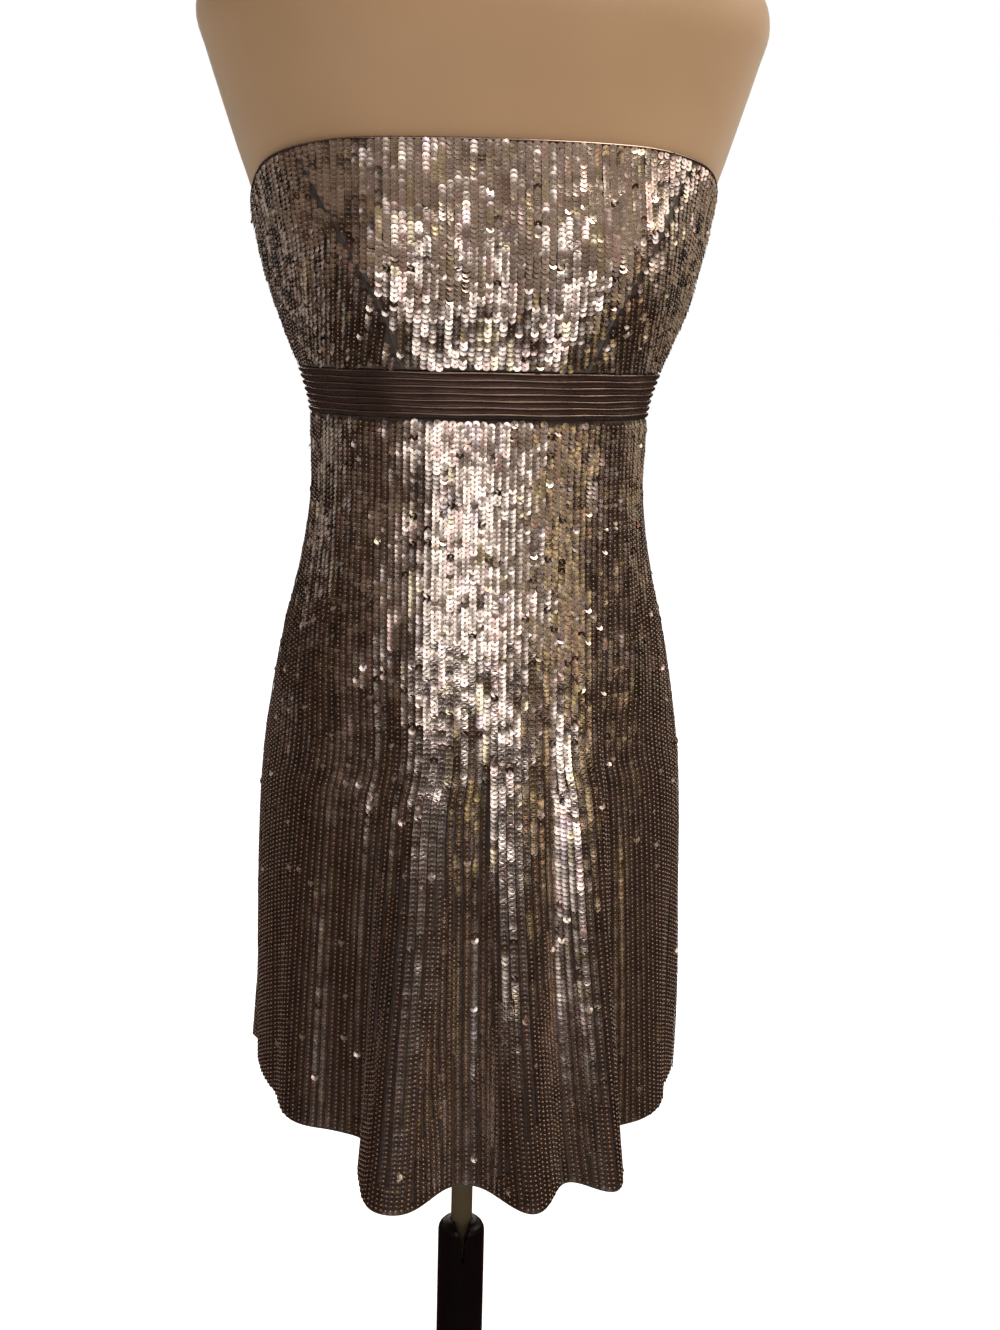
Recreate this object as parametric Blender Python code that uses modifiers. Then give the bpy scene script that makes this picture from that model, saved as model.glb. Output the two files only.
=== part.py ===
"""Strapless cocktail dress on a limbless dress form that stands on a pole and a round base.

Metres, +Z up, the origin on the floor under the pole. The dress faces -Y. A point of a ring is found
from its angle, 0 at the centre front, 90 at the +X side seam and 180 at the centre back, and its height.
"""

import math
from collections import namedtuple

import bmesh
import bpy
import numpy as np

COLLECTION = "cocktail_dress_on_form"
CUTTERS = "cutters"
STANDING_STILL = ("base", "mast_tube")

# Cloth and clearances
WALL = 0.0015
EASE = 0.0035
SEAM_GAP = 0.0003
FIT_GAP = 0.0003

# Heights of the seams and edges of the dress
BAND_TOP = 1.157
BAND_BOTTOM = 1.1265
HEM_FRONT = 0.641
HEM_SIDE = 0.661
HEM_BACK = 0.650
HEM_DROP_SHARE = 0.26

# The band's pintucks, and how far each stands out of the satin
TUCK_COUNT = 7
TUCK_DEPTH = 0.0014

# Seam angles in degrees
SIDE_SEAM = 90.0
BACK_SEAM = 180.0

# The bust: how far each cup stands forward, where it is and how far it spreads
CUP_DEPTH = 0.023
CUP_ANGLE = 35.0
CUP_SPREAD = 23.0
CUP_HEIGHT = 1.218
CUP_RISE = 0.050
CUP_FALL = 0.058
BRIDGE_DEPTH = 0.007
BRIDGE_SPREAD = 20.0

# The pole, and the flange under the form, whose collar turns on the pole's end
POLE_RADIUS = 0.008
POLE_BOTTOM = 0.215
FLANGE_RADIUS = 0.032
FLANGE_THICKNESS = 0.006
COLLAR_RADIUS = 0.0125
COLLAR_LENGTH = 0.0240

# The tube: its round top grips the pole, over a wider bore, and is notched and slit at the front
TUBE_RADIUS = 0.0175
TUBE_TOP = 0.525
TUBE_GRIP_RADIUS = 0.0085
TUBE_GRIP_LENGTH = 0.070
TUBE_BORE_RADIUS = 0.0150
NOTCH_WIDTH = 0.0130
NOTCH_DEPTH = 0.0120
SLIT_WIDTH = 0.0022
SLIT_DEPTH = 0.0280
CUTTER_OVERLAP = 0.0020

# The base, and the boss that the tube stands in
BASE_RADIUS = 0.186
BASE_THICKNESS = 0.008
BASE_EDGE = 0.0018
BOSS_RADIUS = 0.029
BOSS_HEIGHT = 0.034
BOSS_EDGE = 0.0036
STAND_SIDES = 32
BASE_SIDES = 48

# The zip at the centre back: a slider with a bridge, and a pull whose bar lies under the bridge
SLIDER_HEIGHT = 1.2325
SLIDER_SIZE = (0.0060, 0.0022, 0.0095)
BRIDGE_SIZE = (0.0016, 0.0026, 0.0066)
BRIDGE_FOOT = 0.0008
BRIDGE_WINDOW = (0.0016, 0.0044)
PULL_WIDTH = 0.0048
PULL_LENGTH = 0.0220
PULL_THICKNESS = 0.0009
PULL_WINDOW = (0.0024, 0.0036)
SLIDER_EDGE = 0.0007
BRIDGE_EDGE = 0.0004
PULL_EDGE = 0.0003

Section = namedtuple("Section", "height half_width front back")

# The dress form, from its flat underside to the flat top of its neck
FORM_SECTIONS = [
    Section(0.776, 0.1180, 0.0860, 0.0960),
    Section(0.780, 0.1300, 0.0975, 0.1080),
    Section(0.792, 0.1400, 0.1065, 0.1170),
    Section(0.815, 0.1448, 0.1115, 0.1232),
    Section(0.850, 0.1455, 0.1122, 0.1260),
    Section(0.900, 0.1425, 0.1092, 0.1232),
    Section(0.950, 0.1348, 0.1042, 0.1145),
    Section(0.990, 0.1262, 0.1002, 0.1045),
    Section(1.030, 0.1162, 0.0965, 0.0950),
    Section(1.070, 0.1115, 0.0950, 0.0885),
    Section(1.100, 0.1106, 0.0968, 0.0862),
    Section(1.130, 0.1120, 0.1004, 0.0865),
    Section(1.155, 0.1188, 0.1034, 0.0885),
    Section(1.180, 0.1290, 0.1054, 0.0915),
    Section(1.210, 0.1398, 0.1070, 0.0942),
    Section(1.240, 0.1480, 0.1070, 0.0958),
    Section(1.270, 0.1545, 0.1045, 0.0965),
    Section(1.300, 0.1648, 0.0995, 0.0960),
    Section(1.330, 0.1748, 0.0940, 0.0935),
    Section(1.360, 0.1845, 0.0890, 0.0905),
    Section(1.384, 0.1912, 0.0840, 0.0870),
    Section(1.402, 0.1880, 0.0780, 0.0830),
    Section(1.420, 0.1690, 0.0715, 0.0785),
    Section(1.436, 0.1370, 0.0655, 0.0735),
    Section(1.450, 0.1040, 0.0600, 0.0675),
    Section(1.464, 0.0790, 0.0555, 0.0615),
    Section(1.484, 0.0630, 0.0520, 0.0560),
    Section(1.510, 0.0575, 0.0505, 0.0535),
    Section(1.534, 0.0560, 0.0500, 0.0530),
]

# The skirt's outer face before its folds
SKIRT_SECTIONS = [
    Section(0.620, 0.1520, 0.1215, 0.1290),
    Section(0.760, 0.1516, 0.1200, 0.1320),
    Section(0.840, 0.1502, 0.1178, 0.1318),
    Section(0.890, 0.1473, 0.1148, 0.1293),
    Section(0.940, 0.1402, 0.1108, 0.1215),
    Section(0.980, 0.1326, 0.1077, 0.1118),
    Section(1.015, 0.1240, 0.1060, 0.1030),
    Section(1.050, 0.1174, 0.1050, 0.0958),
    Section(1.085, 0.1144, 0.1043, 0.0910),
    Section(1.130, 0.1155, 0.1039, 0.0900),
]

Fold = namedtuple("Fold", "angle_top angle_hem half_span edge depth starts_at")

# The skirt's folds: where each lies under the band and at the hem, how wide and how steep it is,
# how far it stands out at the hem, and the height at which it begins
SKIRT_FOLDS = [
    Fold(5.0, 0.8, 28.6, 2.2, 0.034, 1.080),
    Fold(-14.5, -16.8, 6.2, 3.3, 0.034, 0.990),
    Fold(6.0, 7.0, 4.2, 4.0, 0.031, 0.960),
    Fold(25.0, 22.4, 3.4, 3.4, 0.024, 1.020),
    Fold(-52.0, -50.0, 7.0, 7.0, 0.011, 0.960),
    Fold(52.0, 48.0, 9.0, 6.0, 0.010, 0.900),
    Fold(118.0, 121.0, 8.0, 6.5, 0.026, 0.930),
    Fold(150.0, 152.0, 6.0, 5.5, 0.030, 0.950),
    Fold(-112.0, -115.0, 7.0, 6.5, 0.020, 0.910),
    Fold(-142.0, -145.0, 7.5, 5.5, 0.032, 0.960),
    Fold(-168.0, -169.0, 4.0, 4.0, 0.017, 0.880),
]
FOLD_GROWTH = 1.7

# The top edge of the bodice, from the centre front round to the centre back
TOP_EDGE_ANGLES = (0.0, 30.0, 50.0, 62.0, 75.0, 90.0, 120.0, 180.0)
TOP_EDGE_HEIGHTS = (1.2982, 1.2975, 1.2920, 1.2850, 1.2720, 1.2590, 1.2500, 1.2460)

# The princess seam between the front and its side pieces
PRINCESS_HEIGHTS = (1.150, 1.190, 1.222, 1.260, 1.300)
PRINCESS_ANGLES = (28.0, 31.5, 36.5, 44.0, 50.0)

# Rows of faces up the pieces, and the degrees that a face is wide
BODICE_ROWS = 9
BODICE_STEP = 4.5
BAND_STEP = 7.5
TUCK_ROWS = (0.34, 0.72, 1.0)
TUCK_FORM = (0.55, 1.0, 0.0)
SKIRT_ROWS = 12
SKIRT_STEP = 5.0
FLUTE_STEP = 2.5
FLUTE_LIMIT = 42.5
FORM_COLUMNS = 36

# Degrees to either side of a place that its direction and its scale are read from
DIRECTION_STEP = 0.05
SCALE_STEP = 0.5
SHARP_ANGLE = 40.0

SEQUIN_BROWN = (0.16, 0.11, 0.085)
SATIN_BROWN = (0.055, 0.036, 0.030)
FORM_BEIGE = (0.42, 0.28, 0.18)
POLE_BEIGE = (0.30, 0.24, 0.14)
STAND_BLACK = (0.012, 0.011, 0.011)
ZIP_BROWN = (0.10, 0.07, 0.055)


def clear_scene():
    """Removes whatever the scene holds."""
    for old in list(bpy.context.scene.objects):
        bpy.data.objects.remove(old, do_unlink=True)


def new_collection(name):
    made = bpy.data.collections.new(name)
    bpy.context.scene.collection.children.link(made)
    return made


def finish_with(obj, color, roughness, metallic):
    """Gives an object a material of its own."""
    material = bpy.data.materials.new(obj.name)
    material.use_nodes = True
    shader = material.node_tree.nodes["Principled BSDF"]
    shader.inputs["Base Color"].default_value = (*color, 1.0)
    shader.inputs["Roughness"].default_value = roughness
    shader.inputs["Metallic"].default_value = metallic
    obj.data.materials.append(material)


def smooth_curve(places, values, at):
    """A smooth curve through the values that never overshoots them, read at a place."""
    places = np.asarray(places, float)
    values = np.asarray(values, float)
    steps = np.diff(places)
    rises = np.diff(values) / steps
    slopes = np.concatenate([rises[:1], (rises[1:] + rises[:-1]) / 2, rises[-1:]])
    for i, (before, after) in enumerate(zip(rises[:-1], rises[1:]), 1):
        if before * after <= 0:
            slopes[i] = 0.0
        else:
            steepest = 2.5 * min(abs(before), abs(after))
            slopes[i] = math.copysign(min(abs(slopes[i]), steepest), before)
    at = min(max(at, places[0]), places[-1])
    i = min(int(np.searchsorted(places, at, side="right")) - 1, len(steps) - 1)
    t = (at - places[i]) / steps[i]
    rise = steps[i] * (t * (1 - t) ** 2 * slopes[i] - t * t * (1 - t) * slopes[i + 1])
    return values[i] + (3 - 2 * t) * t * t * (values[i + 1] - values[i]) + rise


def section_at(sections, height):
    """The sizes of the ring at a height, between the sections of a table."""
    heights = [s.height for s in sections]
    return Section(
        height,
        smooth_curve(heights, [s.half_width for s in sections], height),
        smooth_curve(heights, [s.front for s in sections], height),
        smooth_curve(heights, [s.back for s in sections], height),
    )


def bell(distance, spread):
    return math.exp(-((distance / spread) ** 2))


def oval_point(section, angle, extra=0.0):
    """A point of a slightly squared oval ring, moved out by extra."""
    turn = math.radians(angle)
    across, ahead = math.sin(turn), math.cos(turn)
    depth = section.front if ahead > 0 else section.back
    square = 1 + 0.03 * math.sin(2 * turn) ** 2
    return np.array(
        [(section.half_width + extra) * across * square, -(depth + extra) * ahead * square]
    )


def bust(height, angle):
    """How far the cups stand forward at a place."""
    spread = CUP_RISE if height > CUP_HEIGHT else CUP_FALL
    return CUP_DEPTH * bell(height - CUP_HEIGHT, spread) * bell(abs(angle) - CUP_ANGLE, CUP_SPREAD)


def form_surface(angle, height):
    """The dress form's skin."""
    point = oval_point(section_at(FORM_SECTIONS, height), angle)
    return point - [0.0, bust(height, angle)]


def bridged_bust(height, angle):
    """How far the cloth stands forward over the cups, whose hollow it bridges."""
    spread = CUP_RISE if height > CUP_HEIGHT else CUP_FALL
    bridge = BRIDGE_DEPTH * bell(height - CUP_HEIGHT, spread) * bell(angle, BRIDGE_SPREAD)
    return bust(height, angle) + bridge


def bodice_surface(angle, height):
    """The outer face of the bodice and band."""
    point = oval_point(section_at(FORM_SECTIONS, height), angle, EASE)
    return point - [0.0, bridged_bust(height, angle)]


def turn_between(angle, centre):
    """The angle from centre to angle, the short way round."""
    return (angle - centre + 180.0) % 360.0 - 180.0


def fold_profile(fold, angle, fallen):
    """The outline of a fold across its width, from 0 beside it to 1 at its middle."""
    centre = fold.angle_top + (fold.angle_hem - fold.angle_top) * fallen
    away = turn_between(angle, centre)
    span = fold.half_span
    rise = math.tanh((away + span) / fold.edge) - math.tanh((away - span) / fold.edge)
    return rise / (2 * math.tanh(span / fold.edge))


def fold_depth(angle, height):
    """How far the folds of the skirt stand out at a place."""
    lowest = SKIRT_SECTIONS[0].height
    depth = 0.0
    for fold in SKIRT_FOLDS:
        if height < fold.starts_at:
            grown = (fold.starts_at - height) / (fold.starts_at - lowest)
            fallen = (BAND_BOTTOM - height) / (BAND_BOTTOM - lowest)
            depth += fold.depth * grown**FOLD_GROWTH * fold_profile(fold, angle, fallen)
    return depth


def skirt_surface(angle, height):
    """The outer face of the skirt."""
    point = oval_point(section_at(SKIRT_SECTIONS, height), angle)
    out = point / np.linalg.norm(point)
    return point + out * fold_depth(angle, height) - [0.0, bridged_bust(height, angle)]


def hem_height(angle):
    """The hem, level but for the front, and lower where a fold stands out."""
    ahead = math.cos(math.radians(angle))
    middle = HEM_FRONT if ahead > 0 else HEM_BACK
    level = HEM_SIDE + (middle - HEM_SIDE) * abs(ahead) ** 1.5
    return level - HEM_DROP_SHARE * fold_depth(angle, level)


def top_edge(angle):
    away = abs(turn_between(angle, 0.0))
    return smooth_curve(TOP_EDGE_ANGLES, TOP_EDGE_HEIGHTS, away)


def princess_seam(height):
    return smooth_curve(PRINCESS_HEIGHTS, PRINCESS_ANGLES, height)


def outward(surface, angle, height):
    """The level direction straight out of a surface."""
    along = surface(angle + DIRECTION_STEP, height) - surface(angle - DIRECTION_STEP, height)
    along /= np.linalg.norm(along)
    return np.array([along[1], -along[0]])


def beside_seam(surface, angle, height, side):
    """The angle half a seam gap away from a seam, towards side."""
    run = np.linalg.norm(surface(angle + SCALE_STEP, height) - surface(angle - SCALE_STEP, height))
    return angle + side * SEAM_GAP / 2 * (2 * SCALE_STEP / run)


def object_from(bm, name, collection):
    """A smooth-shaded object from a closed mesh."""
    bmesh.ops.recalc_face_normals(bm, faces=bm.faces)
    mesh = bpy.data.meshes.new(name)
    bm.to_mesh(mesh)
    bm.free()
    mesh.shade_smooth()
    mesh.set_sharp_from_angle(angle=math.radians(SHARP_ANGLE))
    obj = bpy.data.objects.new(name, mesh)
    collection.objects.link(obj)
    return obj


def join_grids(bm, outer, inner):
    """Closes the wall between an outer grid of points and an inner one, which may skip rows."""
    columns = len(outer[0])
    skip = (len(outer) - 1) // (len(inner) - 1)
    for grid, reverse in ((outer, False), (inner, True)):
        for low, high in zip(grid[:-1], grid[1:]):
            for i in range(columns - 1):
                face = [low[i], low[i + 1], high[i + 1], high[i]]
                bm.faces.new(face[::-1] if reverse else face)
    for i in range(columns - 1):
        bm.faces.new([outer[0][i + 1], outer[0][i], inner[0][i], inner[0][i + 1]])
        bm.faces.new([outer[-1][i], outer[-1][i + 1], inner[-1][i + 1], inner[-1][i]])
    for column, turned in ((0, False), (columns - 1, True)):
        for row in range(len(inner) - 1):
            face = [line[column] for line in outer[row * skip : (row + 1) * skip + 1]]
            face += [inner[row + 1][column], inner[row][column]]
            bm.faces.new(face[::-1] if turned else face)


def cloth_piece(name, surface, edges, columns, heights, collection, lifts=None, skip=1):
    """A cloth wall between two seams.

    edges gives the angles of its two seams at a height, columns the shares across it, and heights the
    shares up it with the functions of its lower and upper edge. lifts gives how far the outer face
    stands out at each share up, over a plain inner face that has a row for every skip of them.
    """
    shares, bottom, top = heights
    bm = bmesh.new()

    def place(across, up):
        angle = sum(edges(BAND_TOP)) / 2
        for _ in range(4):
            height = bottom(angle) + (top(angle) - bottom(angle)) * up
            first, last = edges(height)
            angle = first + (last - first) * across
        return angle, height

    def grid(ups, moves):
        lines = []
        for up, move in zip(ups, moves):
            line = []
            for across in columns:
                angle, height = place(across, up)
                moved = move * outward(surface, angle, height)
                x, y = surface(angle, height) + moved
                line.append(bm.verts.new((x, y, height)))
            lines.append(line)
        return lines

    outer = grid(shares, lifts or [0.0] * len(shares))
    inner = grid(shares[::skip], [-WALL] * len(shares[::skip]))
    join_grids(bm, outer, inner)
    return object_from(bm, name, collection)


def even_shares(count):
    return [i / count for i in range(count + 1)]


def seam_pair(surface, first, last):
    """The angles of a piece's two edges at a height, each half a gap inside its seam."""

    def edges(height):
        one = first(height) if callable(first) else first
        two = last(height) if callable(last) else last
        return beside_seam(surface, one, height, 1), beside_seam(surface, two, height, -1)

    return edges


def make_bodice(collection):
    """The front, its two side pieces and the two back pieces, which meet at the zip."""

    def other_princess(height):
        return -princess_seam(height)

    pieces = {
        "bodice_front": (other_princess, princess_seam),
        "bodice_side_front_left": (princess_seam, SIDE_SEAM),
        "bodice_side_front_right": (-SIDE_SEAM, other_princess),
        "bodice_back_left": (SIDE_SEAM, BACK_SEAM),
        "bodice_back_right": (-BACK_SEAM, -SIDE_SEAM),
    }

    def bottom(angle):
        return BAND_TOP + SEAM_GAP / 2

    for name, (first, last) in pieces.items():
        edges = seam_pair(bodice_surface, first, last)
        right, left = edges(CUP_HEIGHT)
        columns = even_shares(round((left - right) / BODICE_STEP))
        heights = (even_shares(BODICE_ROWS), bottom, top_edge)
        obj = cloth_piece(name, bodice_surface, edges, columns, heights, collection)
        finish_with(obj, SEQUIN_BROWN, 0.30, 0.75)


def make_band(collection):
    """The satin band under the bust, in a front and two backs, with its pintucks raised."""
    shares, lifts = [0.0], [0.0]
    for tuck in range(TUCK_COUNT):
        for place, form in zip(TUCK_ROWS, TUCK_FORM):
            shares.append((tuck + place) / TUCK_COUNT)
            lifts.append(TUCK_DEPTH * form)

    def bottom(angle):
        return BAND_BOTTOM + SEAM_GAP / 2

    def top(angle):
        return BAND_TOP - SEAM_GAP / 2

    pieces = {
        "band_front": (-SIDE_SEAM, SIDE_SEAM),
        "band_back_left": (SIDE_SEAM, BACK_SEAM),
        "band_back_right": (-BACK_SEAM, -SIDE_SEAM),
    }
    for name, (first, last) in pieces.items():
        columns = even_shares(round((last - first) / BAND_STEP))
        edges = seam_pair(bodice_surface, first, last)
        heights = (shares, bottom, top)
        obj = cloth_piece(
            name, bodice_surface, edges, columns, heights, collection, lifts, len(TUCK_ROWS)
        )
        finish_with(obj, SATIN_BROWN, 0.38, 0.0)


def flute_columns():
    """Shares across the skirt front, closer together over the deep flutes."""
    beside = np.linspace(-SIDE_SEAM, -FLUTE_LIMIT, round((SIDE_SEAM - FLUTE_LIMIT) / SKIRT_STEP) + 1)
    over = np.linspace(-FLUTE_LIMIT, FLUTE_LIMIT, round(2 * FLUTE_LIMIT / FLUTE_STEP) + 1)
    angles = [*beside[:-1], *over, *(-beside[::-1])[1:]]
    return [(angle + SIDE_SEAM) / (2 * SIDE_SEAM) for angle in angles]


def make_skirt(collection):
    """The flared skirt front and the two backs, with their folds."""

    def top(angle):
        return BAND_BOTTOM - SEAM_GAP / 2

    back_columns = even_shares(round((BACK_SEAM - SIDE_SEAM) / SKIRT_STEP))
    pieces = {
        "skirt_front": (-SIDE_SEAM, SIDE_SEAM, flute_columns()),
        "skirt_back_left": (SIDE_SEAM, BACK_SEAM, back_columns),
        "skirt_back_right": (-BACK_SEAM, -SIDE_SEAM, back_columns),
    }
    for name, (first, last, columns) in pieces.items():
        heights = (even_shares(SKIRT_ROWS), hem_height, top)
        edges = seam_pair(skirt_surface, first, last)
        obj = cloth_piece(name, skirt_surface, edges, columns, heights, collection)
        finish_with(obj, SEQUIN_BROWN, 0.30, 0.75)


def make_form(collection):
    """The whole form, lofted through its sections, with flat ends."""
    bm = bmesh.new()
    rings = []
    for section in FORM_SECTIONS:
        ring = []
        for i in range(FORM_COLUMNS):
            x, y = form_surface(turn_between(360.0 * i / FORM_COLUMNS, 0.0), section.height)
            ring.append(bm.verts.new((x, y, section.height)))
        rings.append(ring)
    for low, high in zip(rings[:-1], rings[1:]):
        for i in range(FORM_COLUMNS):
            j = (i + 1) % FORM_COLUMNS
            bm.faces.new([low[i], low[j], high[j], high[i]])
    bm.faces.new(rings[0][::-1])
    bm.faces.new(rings[-1])
    obj = object_from(bm, "dress_form", collection)
    finish_with(obj, FORM_BEIGE, 0.42, 0.0)


def add_cylinder(name, radius, low, high, sides, collection):
    """An upright round bar on the pole's axis."""
    bm = bmesh.new()
    bmesh.ops.create_cone(
        bm,
        cap_ends=True,
        segments=sides,
        radius1=radius,
        radius2=radius,
        depth=high - low,
    )
    obj = object_from(bm, name, collection)
    obj.location.z = (low + high) / 2
    return obj


def add_turned(name, profile, sides, collection):
    """A turned shape from a closed or axis-to-axis profile of (radius, height) points."""
    closed = profile[0][0] > 0
    bm = bmesh.new()
    points = [bm.verts.new((radius, 0.0, height)) for radius, height in profile]
    for one, two in zip(points[:-1], points[1:]):
        bm.edges.new((one, two))
    if closed:
        bm.edges.new((points[-1], points[0]))
    mesh = bpy.data.meshes.new(name)
    bm.to_mesh(mesh)
    bm.free()
    obj = bpy.data.objects.new(name, mesh)
    collection.objects.link(obj)
    screw = obj.modifiers.new("Turn", "SCREW")
    screw.steps = sides
    screw.render_steps = sides
    screw.use_merge_vertices = True
    screw.merge_threshold = 0.00001
    screw.use_smooth_shade = False
    return obj


def arc(centre, radius, start, end, count):
    """Points of a round corner, from one angle in degrees to another."""
    points = []
    for i in range(count + 1):
        turn = math.radians(start + (end - start) * i / count)
        points.append((centre[0] + radius * math.cos(turn), centre[1] + radius * math.sin(turn)))
    return points


def box(bm, low, high):
    """Adds a block between two corners."""
    size = [b - a for a, b in zip(low, high)]
    middle = [(a + b) / 2 for a, b in zip(low, high)]
    made = bmesh.ops.create_cube(bm, size=1.0)["verts"]
    bmesh.ops.scale(bm, vec=size, verts=made)
    bmesh.ops.translate(bm, vec=middle, verts=made)
    return made


def add_cutter(name, bm, cutters):
    """A guide that only cuts."""
    obj = object_from(bm, name, cutters)
    obj.hide_render = True
    obj.display_type = "WIRE"
    return obj


def round_edges(obj, width, segments):
    bevel = obj.modifiers.new("Round", "BEVEL")
    bevel.width = width
    bevel.segments = segments
    bevel.limit_method = "ANGLE"


def add_boolean(obj, other, operation):
    boolean = obj.modifiers.new(other.name, "BOOLEAN")
    boolean.object = other
    boolean.operation = operation
    boolean.solver = "EXACT"


def make_mast(collection, cutters):
    """The pole, the flange that carries the form, and the tube that the pole slides in."""
    flange_top = FORM_SECTIONS[0].height - FIT_GAP
    flange_bottom = flange_top - FLANGE_THICKNESS
    socket = POLE_RADIUS + FIT_GAP
    flange_profile = [
        (0.0, flange_top),
        (FLANGE_RADIUS, flange_top),
        (FLANGE_RADIUS, flange_bottom),
        (COLLAR_RADIUS, flange_bottom),
        (COLLAR_RADIUS, flange_bottom - COLLAR_LENGTH),
        (socket, flange_bottom - COLLAR_LENGTH),
        (socket, flange_bottom),
        (0.0, flange_bottom),
    ]
    flange = add_turned("form_flange", flange_profile, STAND_SIDES, collection)
    finish_with(flange, STAND_BLACK, 0.45, 0.6)
    pole = add_cylinder(
        "pole", POLE_RADIUS, POLE_BOTTOM, flange_bottom - FIT_GAP, STAND_SIDES, collection
    )
    finish_with(pole, POLE_BEIGE, 0.32, 0.55)

    tube_bottom = BASE_THICKNESS + FIT_GAP
    shoulder = TUBE_RADIUS - TUBE_GRIP_RADIUS
    grip_bottom = TUBE_TOP - TUBE_GRIP_LENGTH
    profile = [
        *arc((TUBE_GRIP_RADIUS, TUBE_TOP - shoulder), shoulder, 90, 0, 5),
        (TUBE_RADIUS, tube_bottom),
        (TUBE_BORE_RADIUS, tube_bottom),
        (TUBE_BORE_RADIUS, grip_bottom),
        (TUBE_GRIP_RADIUS, grip_bottom),
    ]
    tube = add_turned("mast_tube", profile, STAND_SIDES, collection)
    finish_with(tube, STAND_BLACK, 0.35, 0.0)

    outline = [
        (-NOTCH_WIDTH / 2, TUBE_TOP + CUTTER_OVERLAP),
        (-SLIT_WIDTH / 2, TUBE_TOP - NOTCH_DEPTH),
        (-SLIT_WIDTH / 2, TUBE_TOP - SLIT_DEPTH),
        (SLIT_WIDTH / 2, TUBE_TOP - SLIT_DEPTH),
        (SLIT_WIDTH / 2, TUBE_TOP - NOTCH_DEPTH),
        (NOTCH_WIDTH / 2, TUBE_TOP + CUTTER_OVERLAP),
    ]
    bm = bmesh.new()
    front = bm.faces.new([bm.verts.new((x, -2 * TUBE_RADIUS, z)) for x, z in outline])
    made = bmesh.ops.extrude_face_region(bm, geom=[front])["geom"]
    moved = [v for v in made if isinstance(v, bmesh.types.BMVert)]
    bmesh.ops.translate(bm, vec=(0, 2 * TUBE_RADIUS, 0), verts=moved)
    add_boolean(tube, add_cutter("tube_notch", bm, cutters), "DIFFERENCE")


def make_base(collection):
    """The round base, with the boss that the tube stands in."""
    socket = TUBE_RADIUS + FIT_GAP
    edge = BASE_EDGE
    profile = [
        (0.0, BASE_THICKNESS),
        (socket, BASE_THICKNESS),
        (socket, BOSS_HEIGHT),
        *arc((BOSS_RADIUS - BOSS_EDGE, BOSS_HEIGHT - BOSS_EDGE), BOSS_EDGE, 90, 0, 2),
        (BOSS_RADIUS, BASE_THICKNESS + edge),
        (BOSS_RADIUS + edge, BASE_THICKNESS),
        *arc((BASE_RADIUS - edge, BASE_THICKNESS - edge), edge, 90, 0, 2),
        *arc((BASE_RADIUS - edge, edge), edge, 0, -90, 1),
        (0.0, 0.0),
    ]
    base = add_turned("base", profile, BASE_SIDES, collection)
    finish_with(base, STAND_BLACK, 0.40, 0.6)


def make_zip(collection, cutters):
    """The slider at the top of the centre back and its pull, which hangs from under the bridge."""
    behind = bodice_surface(BACK_SEAM, SLIDER_HEIGHT + SLIDER_SIZE[2] / 2)[1] + FIT_GAP
    face = behind + SLIDER_SIZE[1]
    half = [size / 2 for size in SLIDER_SIZE]
    middle = SLIDER_HEIGHT

    bm = bmesh.new()
    box(bm, (-half[0], behind, middle - half[2]), (half[0], face, middle + half[2]))
    slider = object_from(bm, "zip_slider", collection)
    round_edges(slider, SLIDER_EDGE, 2)

    width, rise, length = BRIDGE_SIZE
    bm = bmesh.new()
    low = (-width / 2, face - BRIDGE_FOOT, middle - length / 2)
    box(bm, low, (width / 2, face + rise, middle + length / 2))
    bridge = add_cutter("zip_bridge", bm, cutters)
    round_edges(bridge, BRIDGE_EDGE, 1)
    add_boolean(slider, bridge, "UNION")

    rise, length = BRIDGE_WINDOW
    bm = bmesh.new()
    box(bm, (-width, face, middle - length / 2), (width, face + rise, middle + length / 2))
    add_boolean(slider, add_cutter("zip_bridge_window", bm, cutters), "DIFFERENCE")
    finish_with(slider, ZIP_BROWN, 0.35, 0.4)

    bar = PULL_THICKNESS / 2
    pivot = (0.0, face + BRIDGE_WINDOW[0] / 2, middle)
    bm = bmesh.new()
    box(bm, (-PULL_WIDTH / 2, -bar, bar - PULL_LENGTH), (PULL_WIDTH / 2, bar, bar))
    pull = object_from(bm, "zip_pull", collection)
    pull.location = pivot
    round_edges(pull, PULL_EDGE, 1)
    width, length = PULL_WINDOW
    bm = bmesh.new()
    box(bm, (-width / 2, -2 * bar, -bar - length), (width / 2, 2 * bar, -bar))
    window = add_cutter("zip_pull_window", bm, cutters)
    window.location = pivot
    add_boolean(pull, window, "DIFFERENCE")
    finish_with(pull, ZIP_BROWN, 0.35, 0.4)


def hang_on_empties(collection):
    """The pole slides up and down with one empty, and all that it carries turns with another."""
    pieces = list(collection.objects)
    slide = bpy.data.objects.new("mast_height", None)
    turn = bpy.data.objects.new("form_turn", None)
    collection.objects.link(slide)
    collection.objects.link(turn)
    turn.parent = slide
    for obj in pieces:
        if obj.name == "pole":
            obj.parent = slide
        elif obj.name not in STANDING_STILL:
            obj.parent = turn


def main():
    clear_scene()
    collection = new_collection(COLLECTION)
    cutters = new_collection(CUTTERS)
    make_bodice(collection)
    make_band(collection)
    make_skirt(collection)
    make_form(collection)
    make_mast(collection, cutters)
    make_base(collection)
    make_zip(collection, cutters)
    hang_on_empties(collection)


main()
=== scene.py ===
"""The looks of the strapless sequinned dress and its dress form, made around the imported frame.

Metres, +Z up, the dress facing -Y. A place on a ring has an angle in degrees, 0 at the centre front,
90 at the wearer's left side and 180 at the centre back, and a height. The surface functions read
whole arrays of angles and heights.
"""

import math
from collections import namedtuple

import bmesh
import bpy
import numpy as np
from mathutils import Matrix, Vector


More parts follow.
